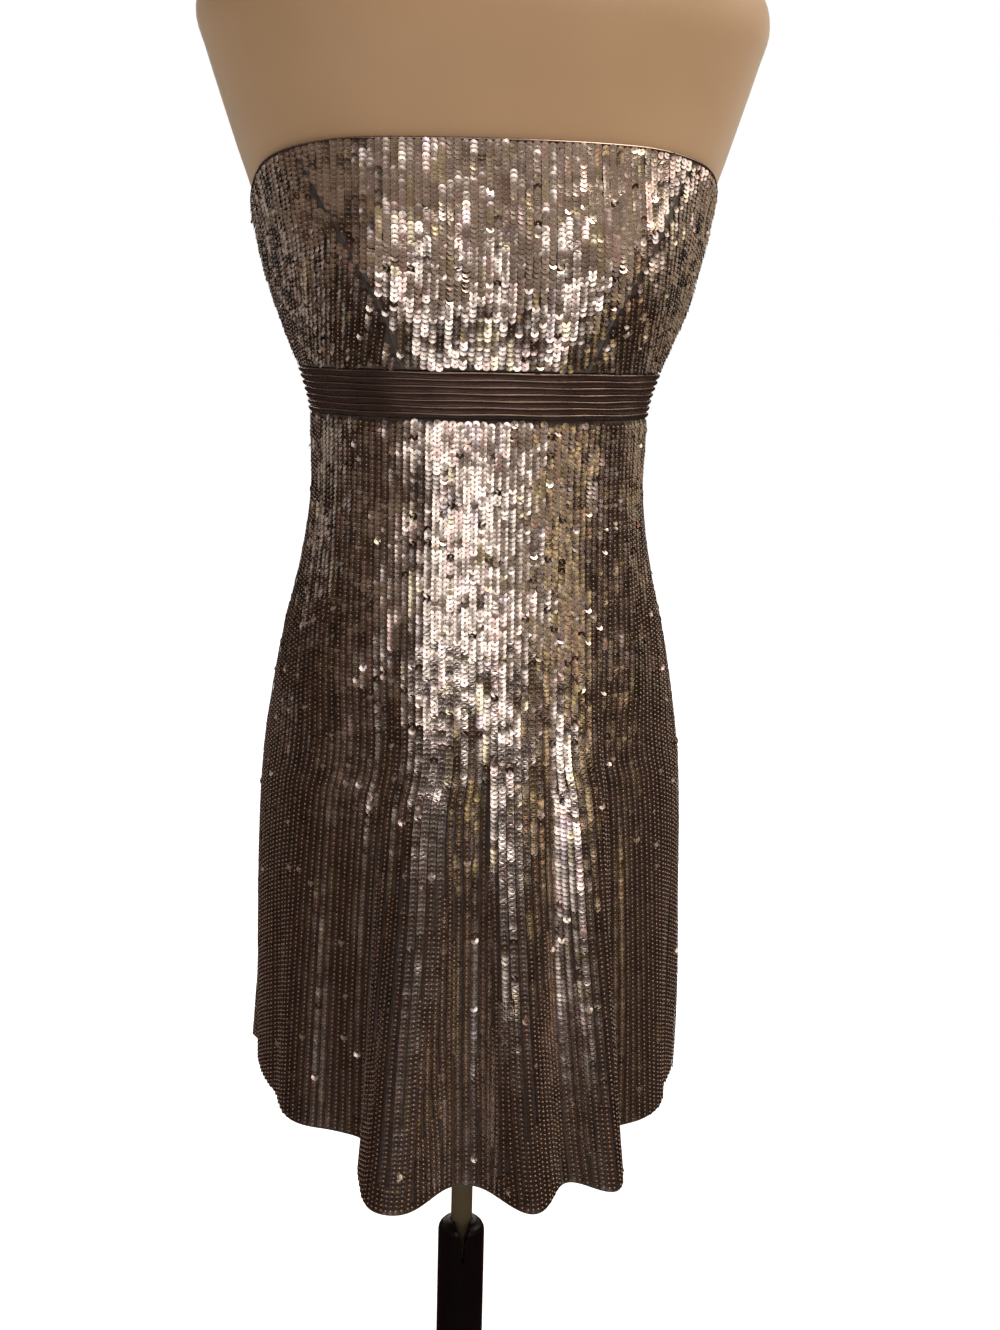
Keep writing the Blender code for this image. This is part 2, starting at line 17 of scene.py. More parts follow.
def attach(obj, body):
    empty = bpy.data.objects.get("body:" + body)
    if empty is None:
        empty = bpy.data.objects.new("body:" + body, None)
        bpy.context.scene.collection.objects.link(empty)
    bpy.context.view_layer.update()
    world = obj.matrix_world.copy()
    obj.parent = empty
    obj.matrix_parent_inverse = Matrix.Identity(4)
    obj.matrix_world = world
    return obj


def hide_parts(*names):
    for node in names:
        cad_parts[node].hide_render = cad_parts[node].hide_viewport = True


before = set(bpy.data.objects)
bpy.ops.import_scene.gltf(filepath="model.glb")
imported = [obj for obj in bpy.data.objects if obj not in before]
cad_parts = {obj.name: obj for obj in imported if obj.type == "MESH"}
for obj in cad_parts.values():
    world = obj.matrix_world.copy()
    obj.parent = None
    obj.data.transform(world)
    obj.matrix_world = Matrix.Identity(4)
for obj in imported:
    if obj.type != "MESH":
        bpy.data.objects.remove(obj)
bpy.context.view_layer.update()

# Sizes of the solids, as the CAD has them: the cloth and its gaps, then the seams and edges
WALL = 0.0015
EASE = 0.0035
SEAM_GAP = 0.0003
FIT_GAP = 0.0003
BAND_TOP = 1.157
BAND_BOTTOM = 1.1265
HEM_FRONT = 0.641
HEM_SIDE = 0.661
HEM_BACK = 0.650
HEM_CURVE = 1.5
HEM_DROP_SHARE = 0.26
TUCK_COUNT = 7
SIDE_SEAM = 90.0
BACK_SEAM = 180.0

# The bust: how far each cup stands forward, where it is and how far it spreads, and the cloth that
# bridges the hollow between the cups
CUP_DEPTH = 0.023
CUP_ANGLE = 35.0
CUP_SPREAD = 23.0
CUP_HEIGHT = 1.218
CUP_RISE = 0.050
CUP_FALL = 0.058
BRIDGE_DEPTH = 0.007
BRIDGE_SPREAD = 20.0

# How much wider than an ellipse the rings are at their corners, and how the folds grow downwards
SQUARENESS = 0.03
FOLD_GROWTH = 1.7

# The base, with the boss round the tube
TUBE_RADIUS = 0.0175
BASE_RADIUS = 0.186
BASE_THICKNESS = 0.008
BASE_EDGE = 0.0018
BOSS_RADIUS = 0.029
BOSS_HEIGHT = 0.034
BOSS_EDGE = 0.0036
BASE_SIDES = 192
BOSS_EDGE_STEPS = 8
BASE_EDGE_STEPS = 6

Section = namedtuple("Section", "height half_width front back")

# The dress form, from its flat underside to the flat top of its neck
FORM_SECTIONS = [Section(*row) for row in (
    (0.776, 0.1180, 0.0860, 0.0960),
    (0.780, 0.1300, 0.0975, 0.1080),
    (0.792, 0.1400, 0.1065, 0.1170),
    (0.815, 0.1448, 0.1115, 0.1232),
    (0.850, 0.1455, 0.1122, 0.1260),
    (0.900, 0.1425, 0.1092, 0.1232),
    (0.950, 0.1348, 0.1042, 0.1145),
    (0.990, 0.1262, 0.1002, 0.1045),
    (1.030, 0.1162, 0.0965, 0.0950),
    (1.070, 0.1115, 0.0950, 0.0885),
    (1.100, 0.1106, 0.0968, 0.0862),
    (1.130, 0.1120, 0.1004, 0.0865),
    (1.155, 0.1188, 0.1034, 0.0885),
    (1.180, 0.1290, 0.1054, 0.0915),
    (1.210, 0.1398, 0.1070, 0.0942),
    (1.240, 0.1480, 0.1070, 0.0958),
    (1.270, 0.1545, 0.1045, 0.0965),
    (1.300, 0.1648, 0.0995, 0.0960),
    (1.330, 0.1748, 0.0940, 0.0935),
    (1.360, 0.1845, 0.0890, 0.0905),
    (1.384, 0.1912, 0.0840, 0.0870),
    (1.402, 0.1880, 0.0780, 0.0830),
    (1.420, 0.1690, 0.0715, 0.0785),
    (1.436, 0.1370, 0.0655, 0.0735),
    (1.450, 0.1040, 0.0600, 0.0675),
    (1.464, 0.0790, 0.0555, 0.0615),
    (1.484, 0.0630, 0.0520, 0.0560),
    (1.510, 0.0575, 0.0505, 0.0535),
    (1.534, 0.0560, 0.0500, 0.0530),
)]

# The skirt's outer face before its folds
SKIRT_SECTIONS = [Section(*row) for row in (
    (0.620, 0.1520, 0.1215, 0.1290),
    (0.760, 0.1516, 0.1200, 0.1320),
    (0.840, 0.1502, 0.1178, 0.1318),
    (0.890, 0.1473, 0.1148, 0.1293),
    (0.940, 0.1402, 0.1108, 0.1215),
    (0.980, 0.1326, 0.1077, 0.1118),
    (1.015, 0.1240, 0.1060, 0.1030),
    (1.050, 0.1174, 0.1050, 0.0958),
    (1.085, 0.1144, 0.1043, 0.0910),
    (1.130, 0.1155, 0.1039, 0.0900),
)]

# Folds of the skirt: the angle of each at the band and at the hem, how far its crest reaches each way
# and how soft its sides are, how deep it is at the hem and where it starts
Fold = namedtuple("Fold", "angle_top angle_hem half_span edge depth starts_at")

SKIRT_FOLDS = [Fold(*row) for row in (
    (5.0, 0.8, 28.6, 2.2, 0.034, 1.080),
    (-14.5, -16.8, 6.2, 3.3, 0.034, 0.990),
    (6.0, 7.0, 4.2, 4.0, 0.031, 0.960),
    (25.0, 22.4, 3.4, 3.4, 0.024, 1.020),
    (-52.0, -50.0, 7.0, 7.0, 0.011, 0.960),
    (52.0, 48.0, 9.0, 6.0, 0.010, 0.900),
    (118.0, 121.0, 8.0, 6.5, 0.026, 0.930),
    (150.0, 152.0, 6.0, 5.5, 0.030, 0.950),
    (-112.0, -115.0, 7.0, 6.5, 0.020, 0.910),
    (-142.0, -145.0, 7.5, 5.5, 0.032, 0.960),
    (-168.0, -169.0, 4.0, 4.0, 0.017, 0.880),
)]

# Heights of the top edge round the bodice, and angles of the princess seams up it
TOP_EDGE_ANGLES = (0.0, 30.0, 50.0, 62.0, 75.0, 90.0, 120.0, 180.0)
TOP_EDGE_HEIGHTS = (1.2982, 1.2975, 1.2920, 1.2850, 1.2720, 1.2590, 1.2500, 1.2460)
PRINCESS_HEIGHTS = (1.150, 1.190, 1.222, 1.260, 1.300)
PRINCESS_ANGLES = (28.0, 31.5, 36.5, 44.0, 50.0)

# Soft troughs (depth below 0) and ridges of the cloth: where each lies at its two ends, and how wide
# and deep it is. "fade" is the height over which it dies out at each end.
Crease = namedtuple("Crease", "angle_top top angle_low low width depth fade")

SKIRT_CREASES = [Crease(*row) for row in (
    (-9.0, 1.00, -9.6, 0.60, 1.6, 0.0016, 0.10),
    (-2.2, 0.99, -3.0, 0.60, 2.2, -0.0040, 0.14),
    (2.0, 0.86, 1.5, 0.60, 1.4, 0.0012, 0.08),
    (15.6, 0.99, 15.2, 0.60, 2.0, -0.0038, 0.16),
    (20.5, 0.94, 19.2, 0.60, 1.3, 0.0014, 0.10),
    (31.0, 1.03, 29.5, 0.60, 2.0, -0.0034, 0.18),
    (62.0, 1.10, 50.0, 0.90, 4.0, -0.0010, 0.06),
    (52.0, 1.10, 43.0, 0.90, 4.0, 0.0014, 0.06),
    (-20.0, 0.93, -24.5, 0.60, 2.2, -0.0042, 0.14),
    (-30.0, 0.99, -33.0, 0.60, 5.0, 0.0026, 0.16),
    (-41.0, 0.90, -41.0, 0.60, 3.8, -0.0014, 0.12),
    (-60.0, 0.84, -64.0, 0.60, 4.0, -0.0024, 0.10),
    (38.0, 0.88, 37.0, 0.60, 3.0, 0.0020, 0.12),
    (60.0, 0.86, 62.0, 0.60, 4.0, -0.0026, 0.12),
    (73.0, 0.82, 75.0, 0.60, 3.5, 0.0022, 0.10),
    (96.0, 0.90, 99.0, 0.60, 4.0, -0.0030, 0.14),
    (107.0, 0.84, 109.0, 0.60, 3.0, 0.0020, 0.10),
    (134.0, 0.92, 136.0, 0.60, 3.5, -0.0040, 0.16),
    (128.0, 0.80, 129.0, 0.60, 2.4, 0.0018, 0.09),
    (163.0, 0.90, 164.0, 0.60, 3.0, -0.0034, 0.15),
    (-98.0, 0.86, -100.0, 0.60, 4.0, -0.0028, 0.12),
    (-127.0, 0.90, -128.0, 0.60, 3.2, -0.0038, 0.15),
    (-134.0, 0.82, -135.0, 0.60, 2.2, 0.0016, 0.09),
    (-157.0, 0.90, -158.5, 0.60, 3.0, -0.0036, 0.14),
    (-176.0, 0.84, -176.5, 0.60, 2.4, -0.0014, 0.10),
)]
BODICE_CREASES = [Crease(*row) for row in (
    (-9.0, 1.275, -12.0, 1.185, 3.0, -0.0010, 0.022),
    (-20.0, 1.262, -17.0, 1.190, 3.6, 0.0012, 0.024),
    (13.0, 1.280, 15.0, 1.180, 3.2, -0.0009, 0.026),
    (3.0, 1.240, 2.0, 1.172, 3.6, 0.0010, 0.020),
    (27.0, 1.255, 25.0, 1.195, 4.0, 0.0009, 0.020),
    (-62.0, 1.280, -74.0, 1.215, 3.4, -0.0010, 0.020),
    (-80.0, 1.235, -70.0, 1.180, 3.6, 0.0010, 0.018),
    (64.0, 1.278, 77.0, 1.205, 3.4, -0.0010, 0.022),
    (82.0, 1.225, 74.0, 1.178, 3.6, 0.0010, 0.016),
    (112.0, 1.240, 104.0, 1.176, 3.6, -0.0010, 0.020),
    (140.0, 1.225, 147.0, 1.170, 3.4, 0.0009, 0.016),
    (-108.0, 1.236, -101.0, 1.180, 3.4, -0.0010, 0.018),
    (-146.0, 1.230, -139.0, 1.172, 3.6, 0.0010, 0.018),
)]

# The cloth shells lie inside the CAD's outer face, under the sequins
SHELL_OUTER = 0.0005
SHELL_INNER = WALL
SHELL_STEP = 0.0055
FEWEST_STEPS = 8

# The side fronts' grain falls plumb at this distance from the middle, as seen from the front
PLUMB_LINE = 0.098

# Sequins: round discs with a hole, cupped, in objects of as many as the triangle limit lets through
SEQUIN_RADIUS = 0.00266
SEQUIN_HOLE = 0.00064
SEQUIN_SIDES = 8
SEQUIN_CUP = math.radians(4.5)
SEQUIN_RISE = (SEQUIN_RADIUS - SEQUIN_HOLE) * math.tan(SEQUIN_CUP)
SEQUIN_LIFT = 0.00075
MOST_SEQUINS = 12400

# Their film is brown, but shares of the runs of neighbours have other tints. Their shades vary by run
# and by sequin.
SEQUIN_BROWN = np.array([0.60, 0.515, 0.465])
SEQUIN_GOLD = np.array([0.66, 0.57, 0.42])
SEQUIN_VIOLET = np.array([0.58, 0.49, 0.50])
SEQUIN_ROSE = np.array([0.64, 0.49, 0.45])
TINT_SHARES = ((0.0, 0.09, SEQUIN_GOLD), (0.09, 0.15, SEQUIN_VIOLET), (0.15, 0.27, SEQUIN_ROSE))
RUN_SHADE = 0.13
OWN_SHADE = 0.06
BRIGHTEST = 0.95

# A stitch in each hole, a small peak of thread that sits a little low in it
STITCH_RADIUS = 0.00070
STITCH_HEIGHT = 0.00060
STITCH_DROP = 0.00024

# Columns: neighbours lie a tier apart where they overlap. Where the cloth spreads them wider than the
# gaps, counted in spacings, half, quarter and eighth columns are sewn between them. They are traced
# round a wide enough arc at every level. Below the hips they fall straight, so there are fewer to a
# length of cloth on the steep walls of the folds, but never fewer than a share. How many fewer is found
# by halving a range.
COLUMN_SPACING = 0.0049
COLUMN_TIER = 0.00022
HALF_GAP = 1.30
QUARTER_GAP = 2.9
EIGHTH_GAP = 5.8
TRACE_ARC = 105.0
TRACE_REACH = 205.0
TRACE_STEPS = 1641
TRACE_MARGIN = 0.004
EDGE_SAMPLES = 60
EIGHTHS = 8
LEVEL_STEP = 0.004
STRAIGHT_BELOW = 0.92
LEAST_DENSITY = 0.15
STEEPEST_SHARE = 200.0
HALVINGS = 30

# Rows, how unevenly they are sewn, how far sequins keep from the seams, the zip and the edges, and how
# nearly wholly a place has to lie inside them
ROW_PITCH = 0.0030
ROW_JITTER = 0.00012
SEAM_MARGIN = 0.0009
BACK_MARGIN = 0.0034
EDGE_MARGIN = 0.0017
TOP_MARGIN = 0.0022
TOP_STAGGER = 0.0014
HEM_MARGIN = 0.0022
NEARLY_ALL = 0.99

# Each sequin leans back on the one below. On sloping cloth it leans less, by a share of the slope, one
# where the cloth narrows downwards and one where it flares, but never under the least lean.
SEQUIN_LIE = math.radians(10.0)
LEAST_LIE = math.radians(-13.0)
HANG_OVER = 0.55
HANG_FLARE = 1.0

# How unevenly they hang: runs of neighbours alike, each one a little, patches of cloth, and a few loose
# ones. Unrest scales all but the loose ones by height. The waves of the patches run about so many
# radians a degree round the cloth and so many a metre up it, some coarse and some fine.
RUN_LENGTH = 2.8
RUN_TURN = math.radians(4.2)
RUN_LIE = math.radians(2.7)
OWN_TURN = math.radians(2.1)
OWN_LIE = 0.7 * OWN_TURN
PATCH_TURN = math.radians(5.0)
PATCH_LIE = math.radians(3.4)
PATCH_FINENESS = (1.0, 1.0, 1.0, 1.0, 1.0, 2.2, 2.2, 2.2, 2.2, 2.2)
PATCH_ROUND = 0.55
PATCH_UP = 130.0
PATCH_SCALE = 3.0
UNREST_HEIGHTS = (0.62, 0.80, 0.95, 1.12, 1.19, 1.23, 1.27, 1.30)
UNREST = (0.20, 0.36, 0.72, 0.85, 1.20, 1.20, 0.85, 0.75)
LOOSE_HEIGHTS = (0.62, 0.80, 0.95, 1.12, 1.30)
LOOSE_SHARES = (0.010, 0.026, 0.065, 0.065, 0.042)
LOOSE_TURN = math.radians(14.0)

# Places where the sequins hang unlike the rest: the middle of each, how far it reaches each way, and
# how many degrees they lean back and turn towards +X there
Lean = namedtuple("Lean", "angle height span reach back turn")

LEANS = [Lean(*row) for row in (
    (0.0, 1.268, 62.0, 0.032, 5.5, 0.0),
    (-20.0, 1.252, 8.0, 0.018, 4.0, 0.0),
    (16.0, 1.252, 8.0, 0.018, 4.0, 0.0),
    (-6.0, 1.177, 26.0, 0.014, -5.0, 0.0),
    (64.0, 1.283, 8.0, 0.014, 1.0, -8.0),
    (-12.0, 0.830, 8.5, 0.090, -5.0, 0.0),
    (-5.0, 0.930, 6.0, 0.050, -3.5, 0.0),
    (12.0, 0.665, 12.0, 0.050, -4.0, 0.0),
    (27.0, 0.770, 7.0, 0.085, -4.0, 0.0),
)]

# The round trims of the edges: how far each lies inside the cloth's face and below the edge, and how
# thick it is
Trim = namedtuple("Trim", "inset drop radius")

HEM_FOLD = Trim(0.0010, 0.0003, 0.0009)
TOP_ROLL = Trim(0.0008, 0.0002, 0.0011)
TRIM_SIDES = 8
TRIM_STEP = 0.0021

# The tucked band: how high the satin stands over each tuck, from its lower stitches to its crest near
# the top, and how the stitching wavers and, near one angle, rises. The band's own edges stay level.
TUCK_PLACES = np.array([0.0, 0.08, 0.20, 0.34, 0.46, 0.56, 0.63, 0.69, 0.75, 0.81, 0.87, 0.93, 0.97])
TUCK_LIFTS = np.array([0.0, 0.30, 0.52, 0.74, 0.89, 0.97, 1.00, 1.00, 0.975, 0.92, 0.80, 0.54, 0.26])
TUCK_DEPTH = 0.0019
BAND_OUTER = 0.0003
BAND_STEP = 0.0033
BAND_FLAT_HEIGHT = 0.044
BAND_EDGE_SHARE = 0.01
WAVER = 0.00022
WAVER_ROUND = 0.21
WAVER_UP = 9.0
RISE = 0.00030
RISE_ANGLE = -78.0
RISE_SPREAD = 7.0

# The zip's closed teeth, from the slider down, each to one side of the middle and raised a little
ZIP_TOP = 1.2275
ZIP_LOW = 0.955
TOOTH_PITCH = 0.0015
TOOTH_SIZE = (0.0011, 0.0009, 0.0009)
TOOTH_SHIFT = 0.00030
TOOTH_LIFT = 0.0001
TOOTH_EDGE = 0.0002

# The form's cover: its rows, closer up to a height round the lower edge, and the radius that its knit
# is laid out on
FORM_COLUMNS = 144
FORM_ROW_STEP = 0.006
FORM_EDGE_ROWS = 7
FORM_EDGE_HEIGHT = 0.016
FORM_REST_HEIGHT = 0.020
FORM_KNIT_RADIUS = 0.13

# Paints, each from its darker to its lighter shade
POLE_OLIVE = ((0.085, 0.062, 0.030), (0.125, 0.095, 0.050))
TUBE_BLACK = ((0.0026, 0.0010, 0.0014), (0.0040, 0.0016, 0.0020))
BASE_BLACK = ((0.0050, 0.0032, 0.0034), (0.0085, 0.0058, 0.0060))
ZIP_BRONZE = ((0.10, 0.065, 0.045), (0.16, 0.11, 0.08))

# The camera stands in front of the dress, a little to the wearer's right, and looks slightly down
CAMERA_AZIMUTH = math.radians(-6.0)
CAMERA_DISTANCE = 1.2
CAMERA_HEIGHT = 1.17
CAMERA_PITCH = math.radians(10.4)
CAMERA_ROLL = math.radians(1.2)
CAMERA_LENS = 46.45
CAMERA_SHIFT = 0.0203
CAMERA_NEAR = 0.05


# ---- The surfaces ----

# How many times as steep as its neighbouring steps a curve may run, the half steps in degrees and
# metres between which directions are taken, and how often a grid is fitted between its seams again
CURVE_LIMIT = 2.5
ROUND_STEP = 0.1
UP_STEP = 0.0005
SEAM_STEP = 0.5
GRID_PASSES = 5


def smooth_curve(places, values, at):
    """A smooth curve through the values that never overshoots them, read at many places."""
    places = np.asarray(places, float)
    values = np.asarray(values, float)
    steps = np.diff(places)
    rises = np.diff(values) / steps
    slopes = np.concatenate([rises[:1], (rises[1:] + rises[:-1]) / 2, rises[-1:]])
    steepest = CURVE_LIMIT * np.minimum(abs(rises[:-1]), abs(rises[1:]))
    held = np.sign(rises[:-1]) * np.minimum(abs(slopes[1:-1]), steepest)
    slopes[1:-1] = np.where(rises[:-1] * rises[1:] <= 0, 0.0, held)
    at = np.clip(at, places[0], places[-1])
    i = np.clip(np.searchsorted(places, at, side="right") - 1, 0, len(steps) - 1)
    t = (at - places[i]) / steps[i]
    rise = steps[i] * (t * (1 - t) ** 2 * slopes[i] - t * t * (1 - t) * slopes[i + 1])
    return values[i] + (3 - 2 * t) * t * t * (values[i + 1] - values[i]) + rise


def bell(distance, spread):
    return np.exp(-((distance / spread) ** 2))


def smooth_step(share):
    share = np.clip(share, 0.0, 1.0)
    return share * share * (3 - 2 * share)


def oval(table, angle, height, extra=0.0):
    """Points of a table's slightly squared oval rings, moved out by extra."""
    heights, *sizes = np.array(table).T
    half_width, front, back = (smooth_curve(heights, size, height) for size in sizes)
    turn = np.radians(angle)
    across, ahead = np.sin(turn), np.cos(turn)
    depth = np.where(ahead > 0, front, back)
    square = 1 + SQUARENESS * np.sin(2 * turn) ** 2
    x = (half_width + extra) * across * square
    y = -(depth + extra) * ahead * square
    return np.stack([x, y, height + 0.0 * x], axis=-1)


def turn_between(angle, centre):
    """The angle from centre to angle, the short way round."""
    return (angle - centre + 180.0) % 360.0 - 180.0


def bust_share(height):
    """How fully the bust stands forward at a height."""
    return bell(height - CUP_HEIGHT, np.where(height > CUP_HEIGHT, CUP_RISE, CUP_FALL))


def bust(angle, height):
    sideways = bell(abs(turn_between(angle, 0.0)) - CUP_ANGLE, CUP_SPREAD)
    return CUP_DEPTH * bust_share(height) * sideways


def form_surface(angle, height):
    points = oval(FORM_SECTIONS, angle, height)
    points[..., 1] -= bust(angle, height)
    return points


def crease_depth(creases, angle, height):
    """How far the creases of a table stand out at a place."""
    depth = 0.0
    for crease in creases:
        share = (crease.top - height) / (crease.top - crease.low)
        centre = crease.angle_top + (crease.angle_low - crease.angle_top) * np.clip(share, 0, 1)
        starts = smooth_step((crease.top - height) / crease.fade)
        ends = smooth_step((height - crease.low) / crease.fade)
        profile = bell(turn_between(angle, centre), crease.width)
        depth = depth + crease.depth * starts * ends * profile
    return depth


def bridged_bust(angle, height):
    """How far the cloth stands forward over the cups, whose hollow it bridges."""
    sideways = bell(turn_between(angle, 0.0), BRIDGE_SPREAD)
    return bust(angle, height) + BRIDGE_DEPTH * bust_share(height) * sideways


def bodice_plain(angle, height):
    """The outer face of the bodice and band, without creases."""
    points = oval(FORM_SECTIONS, angle, height, EASE)
    points[..., 1] -= bridged_bust(angle, height)
    return points


def pushed_out(points, depth):
    """Points moved level, straight away from the pole's axis."""
    level = points[..., :2]
    away = level / np.linalg.norm(level, axis=-1, keepdims=True)
    moved = points.copy()
    moved[..., :2] += away * (depth + 0.0 * points[..., 0])[..., None]
    return moved


def bodice_surface(angle, height):
    return pushed_out(bodice_plain(angle, height), crease_depth(BODICE_CREASES, angle, height))


def fold_depth(angle, height):
    """How far the folds of the skirt stand out at a place."""
    lowest = SKIRT_SECTIONS[0].height
    depth = 0.0
    for fold in SKIRT_FOLDS:
        grown = np.clip((fold.starts_at - height) / (fold.starts_at - lowest), 0.0, None)
        fallen = (BAND_BOTTOM - height) / (BAND_BOTTOM - lowest)
        away = turn_between(angle, fold.angle_top + (fold.angle_hem - fold.angle_top) * fallen)
        rise = np.tanh((away + fold.half_span) / fold.edge)
        rise = rise - np.tanh((away - fold.half_span) / fold.edge)
        profile = rise / (2 * math.tanh(fold.half_span / fold.edge))
        depth = depth + fold.depth * grown**FOLD_GROWTH * profile
    return depth


def skirt_surface(angle, height):
    depth = fold_depth(angle, height) + crease_depth(SKIRT_CREASES, angle, height + 0.0 * angle)
    points = pushed_out(oval(SKIRT_SECTIONS, angle, height), depth)
    points[..., 1] -= bridged_bust(angle, height)
    return points


def hem_height(angle):
    """The hem, level but for the front, and lower where a fold stands out."""
    ahead = np.cos(np.radians(angle))
    middle = np.where(ahead > 0, HEM_FRONT, HEM_BACK)
    level = HEM_SIDE + (middle - HEM_SIDE) * abs(ahead) ** HEM_CURVE
    return level - HEM_DROP_SHARE * fold_depth(angle, level)


def top_edge(angle):
    return smooth_curve(TOP_EDGE_ANGLES, TOP_EDGE_HEIGHTS, abs(turn_between(angle, 0.0)))


def princess_seam(height):
    return smooth_curve(PRINCESS_HEIGHTS, PRINCESS_ANGLES, height)


def fixed(value):
    """An edge at one height all round, or a seam at one angle all the way up."""
    return lambda at: value + 0.0 * at


def unit(vectors):
    return vectors / np.linalg.norm(vectors, axis=-1, keepdims=True)


def around(turn, side, up):
    """Directions at some turns in the plane of each pair of directions side and up."""
    return np.cos(turn)[..., None] * side[:, None] + np.sin(turn)[..., None] * up[:, None]


def directions(surface, angle, height):
    """A place on a surface, and its directions along the ring, up the cloth and straight out."""
    point = surface(angle, height)
    along = unit(surface(angle + ROUND_STEP, height) - surface(angle - ROUND_STEP, height))
    up = unit(surface(angle, height + UP_STEP) - surface(angle, height - UP_STEP))
    out = unit(np.cross(along, up))
    return point, along, up, out


# ---- Meshes ----

# Edges sharper than so many degrees stay sharp, on bars and the form's cover and on turned bodies
SHARP_ROUND = 50.0
SHARP_TURNED = 35.0


def add_object(name, data):
    obj = bpy.data.objects.new(name, data)
    bpy.context.scene.collection.objects.link(obj)
    return obj


def add_mesh(name, points, faces, material, uv=None, colours=None):
    """A smooth-shaded object from points and faces that all have as many corners."""
    mesh = bpy.data.meshes.new(name)
    mesh.vertices.add(len(points))
    mesh.vertices.foreach_set("co", np.ascontiguousarray(points, np.float32).ravel())
    mesh.loops.add(faces.size)
    mesh.loops.foreach_set("vertex_index", np.ascontiguousarray(faces, np.int32).ravel())
    mesh.polygons.add(len(faces))
    starts = np.arange(0, faces.size, faces.shape[1], dtype=np.int32)
    mesh.polygons.foreach_set("loop_start", starts)
    mesh.update(calc_edges=True)
    mesh.shade_smooth()
    if uv is not None:
        layer = mesh.uv_layers.new(name="cloth")
        layer.uv.foreach_set("vector", uv[faces.ravel()].astype(np.float32).ravel())
    if colours is not None:
        attribute = mesh.attributes.new("tint", "FLOAT_COLOR", "POINT")
        attribute.data.foreach_set("color", colours.astype(np.float32).ravel())
    mesh.materials.append(material)
    return add_object(name, mesh)


def put_on(obj, body, node=None):
    """Says which body a piece rides on and hides the solid that it replaces."""
    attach(obj, body)
    if node:
        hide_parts(node)


def grid_faces(rows, columns, start=0):
    """Quads over a grid of points, facing out where columns run along the ring and rows go up."""
    index = start + np.arange(rows * columns).reshape(rows, columns)
    corners = (index[:-1, :-1], index[:-1, 1:], index[1:, 1:], index[1:, :-1])
    return np.stack(corners, axis=-1).reshape(-1, 4)


def wall_faces(rows, columns):
    """Quads that close a wall between an outer grid and an inner one of the same size."""
    count = rows * columns
    outer = np.arange(count).reshape(rows, columns)
    inner = outer + count
    parts = [grid_faces(rows, columns), grid_faces(rows, columns, count)[:, ::-1]]
    borders = (
        (outer[0, ::-1], inner[0, ::-1]),
        (outer[-1], inner[-1]),
        (outer[:, 0], inner[:, 0]),
        (outer[::-1, -1], inner[::-1, -1]),
    )
    for one, two in borders:
        parts.append(np.stack([one[:-1], one[1:], two[1:], two[:-1]], axis=-1))
    return np.concatenate(parts)


# A piece of cloth: the surface that it lies on, its seams and edges, its flat cut as width and length
# and as area, the line that its columns follow and how far its sequins keep from its two seams
Panel = namedtuple(
    "Panel", "name surface first last bottom top flat area grain margins", defaults=(None, None, None)
)


def beside(surface, angle, height, side):
    """The angle half a seam gap away from a seam, towards side."""
    run = surface(angle + SEAM_STEP, height) - surface(angle - SEAM_STEP, height)
    return angle + side * SEAM_GAP / 2 * (2 * SEAM_STEP / np.linalg.norm(run, axis=-1))


def panel_grid(panel, rows, columns):
    """Angles and heights of a grid over a panel, from seam to seam and edge to edge."""
    across = np.linspace(0.0, 1.0, columns)[None, :]
    up = rows[:, None]
    angle = (panel.first(BAND_TOP) + panel.last(BAND_TOP)) / 2 + 0.0 * (across + up)
    for _ in range(GRID_PASSES):
        height = panel.bottom(angle) + (panel.top(angle) - panel.bottom(angle)) * up
        one = beside(panel.surface, panel.first(height), height, 1)
        two = beside(panel.surface, panel.last(height), height, -1)
        angle = one + (two - one) * across
    return angle, height


def cloth_uv(points):
    """Lengths along the cloth of a grid of points, across it and up it, in metres."""
    across = np.linalg.norm(np.diff(points, axis=1), axis=-1)
    up = np.linalg.norm(np.diff(points, axis=0), axis=-1)
    u = np.pad(np.cumsum(across, axis=1), ((0, 0), (1, 0)))
    v = np.pad(np.cumsum(up, axis=0), ((1, 0), (0, 0)))
    u = u - u[:, u.shape[1] // 2][:, None]
    return np.stack([u, v], axis=-1)


def add_wall(name, points, out, outer, material):
    """A cloth wall from an outer grid to one inside the grid of a surface's own points."""
    inner = points - out * SHELL_INNER
    uv = cloth_uv(points).reshape(-1, 2)
    both = np.concatenate([outer.reshape(-1, 3), inner.reshape(-1, 3)])
    faces = wall_faces(*points.shape[:2])
    return add_mesh(name, both, faces, material, np.concatenate([uv, uv]))


def make_shell(panel, material):
    """A panel's cloth, without its sequins."""
    columns, rows = (max(FEWEST_STEPS, round(size / SHELL_STEP)) + 1 for size in panel.flat)
    angle, height = panel_grid(panel, np.linspace(0.0, 1.0, rows), columns)
    points, _, _, out = directions(panel.surface, angle, height)
    return add_wall(panel.name + "_cloth", points, out, points - out * SHELL_OUTER, material)


def sweep(name, path, radius, sides, material):
    """A round bar along a path of points that runs level or nearly so."""
    ahead = unit(np.gradient(path, axis=0))
    side = unit(np.cross(ahead, np.array([0.0, 0.0, 1.0])))
    up = np.cross(side, ahead)
    turn = np.linspace(0.0, 2 * math.pi, sides, endpoint=False)
    return add_rings(name, path[:, None] + radius * around(turn, side, up), SHARP_ROUND, material)


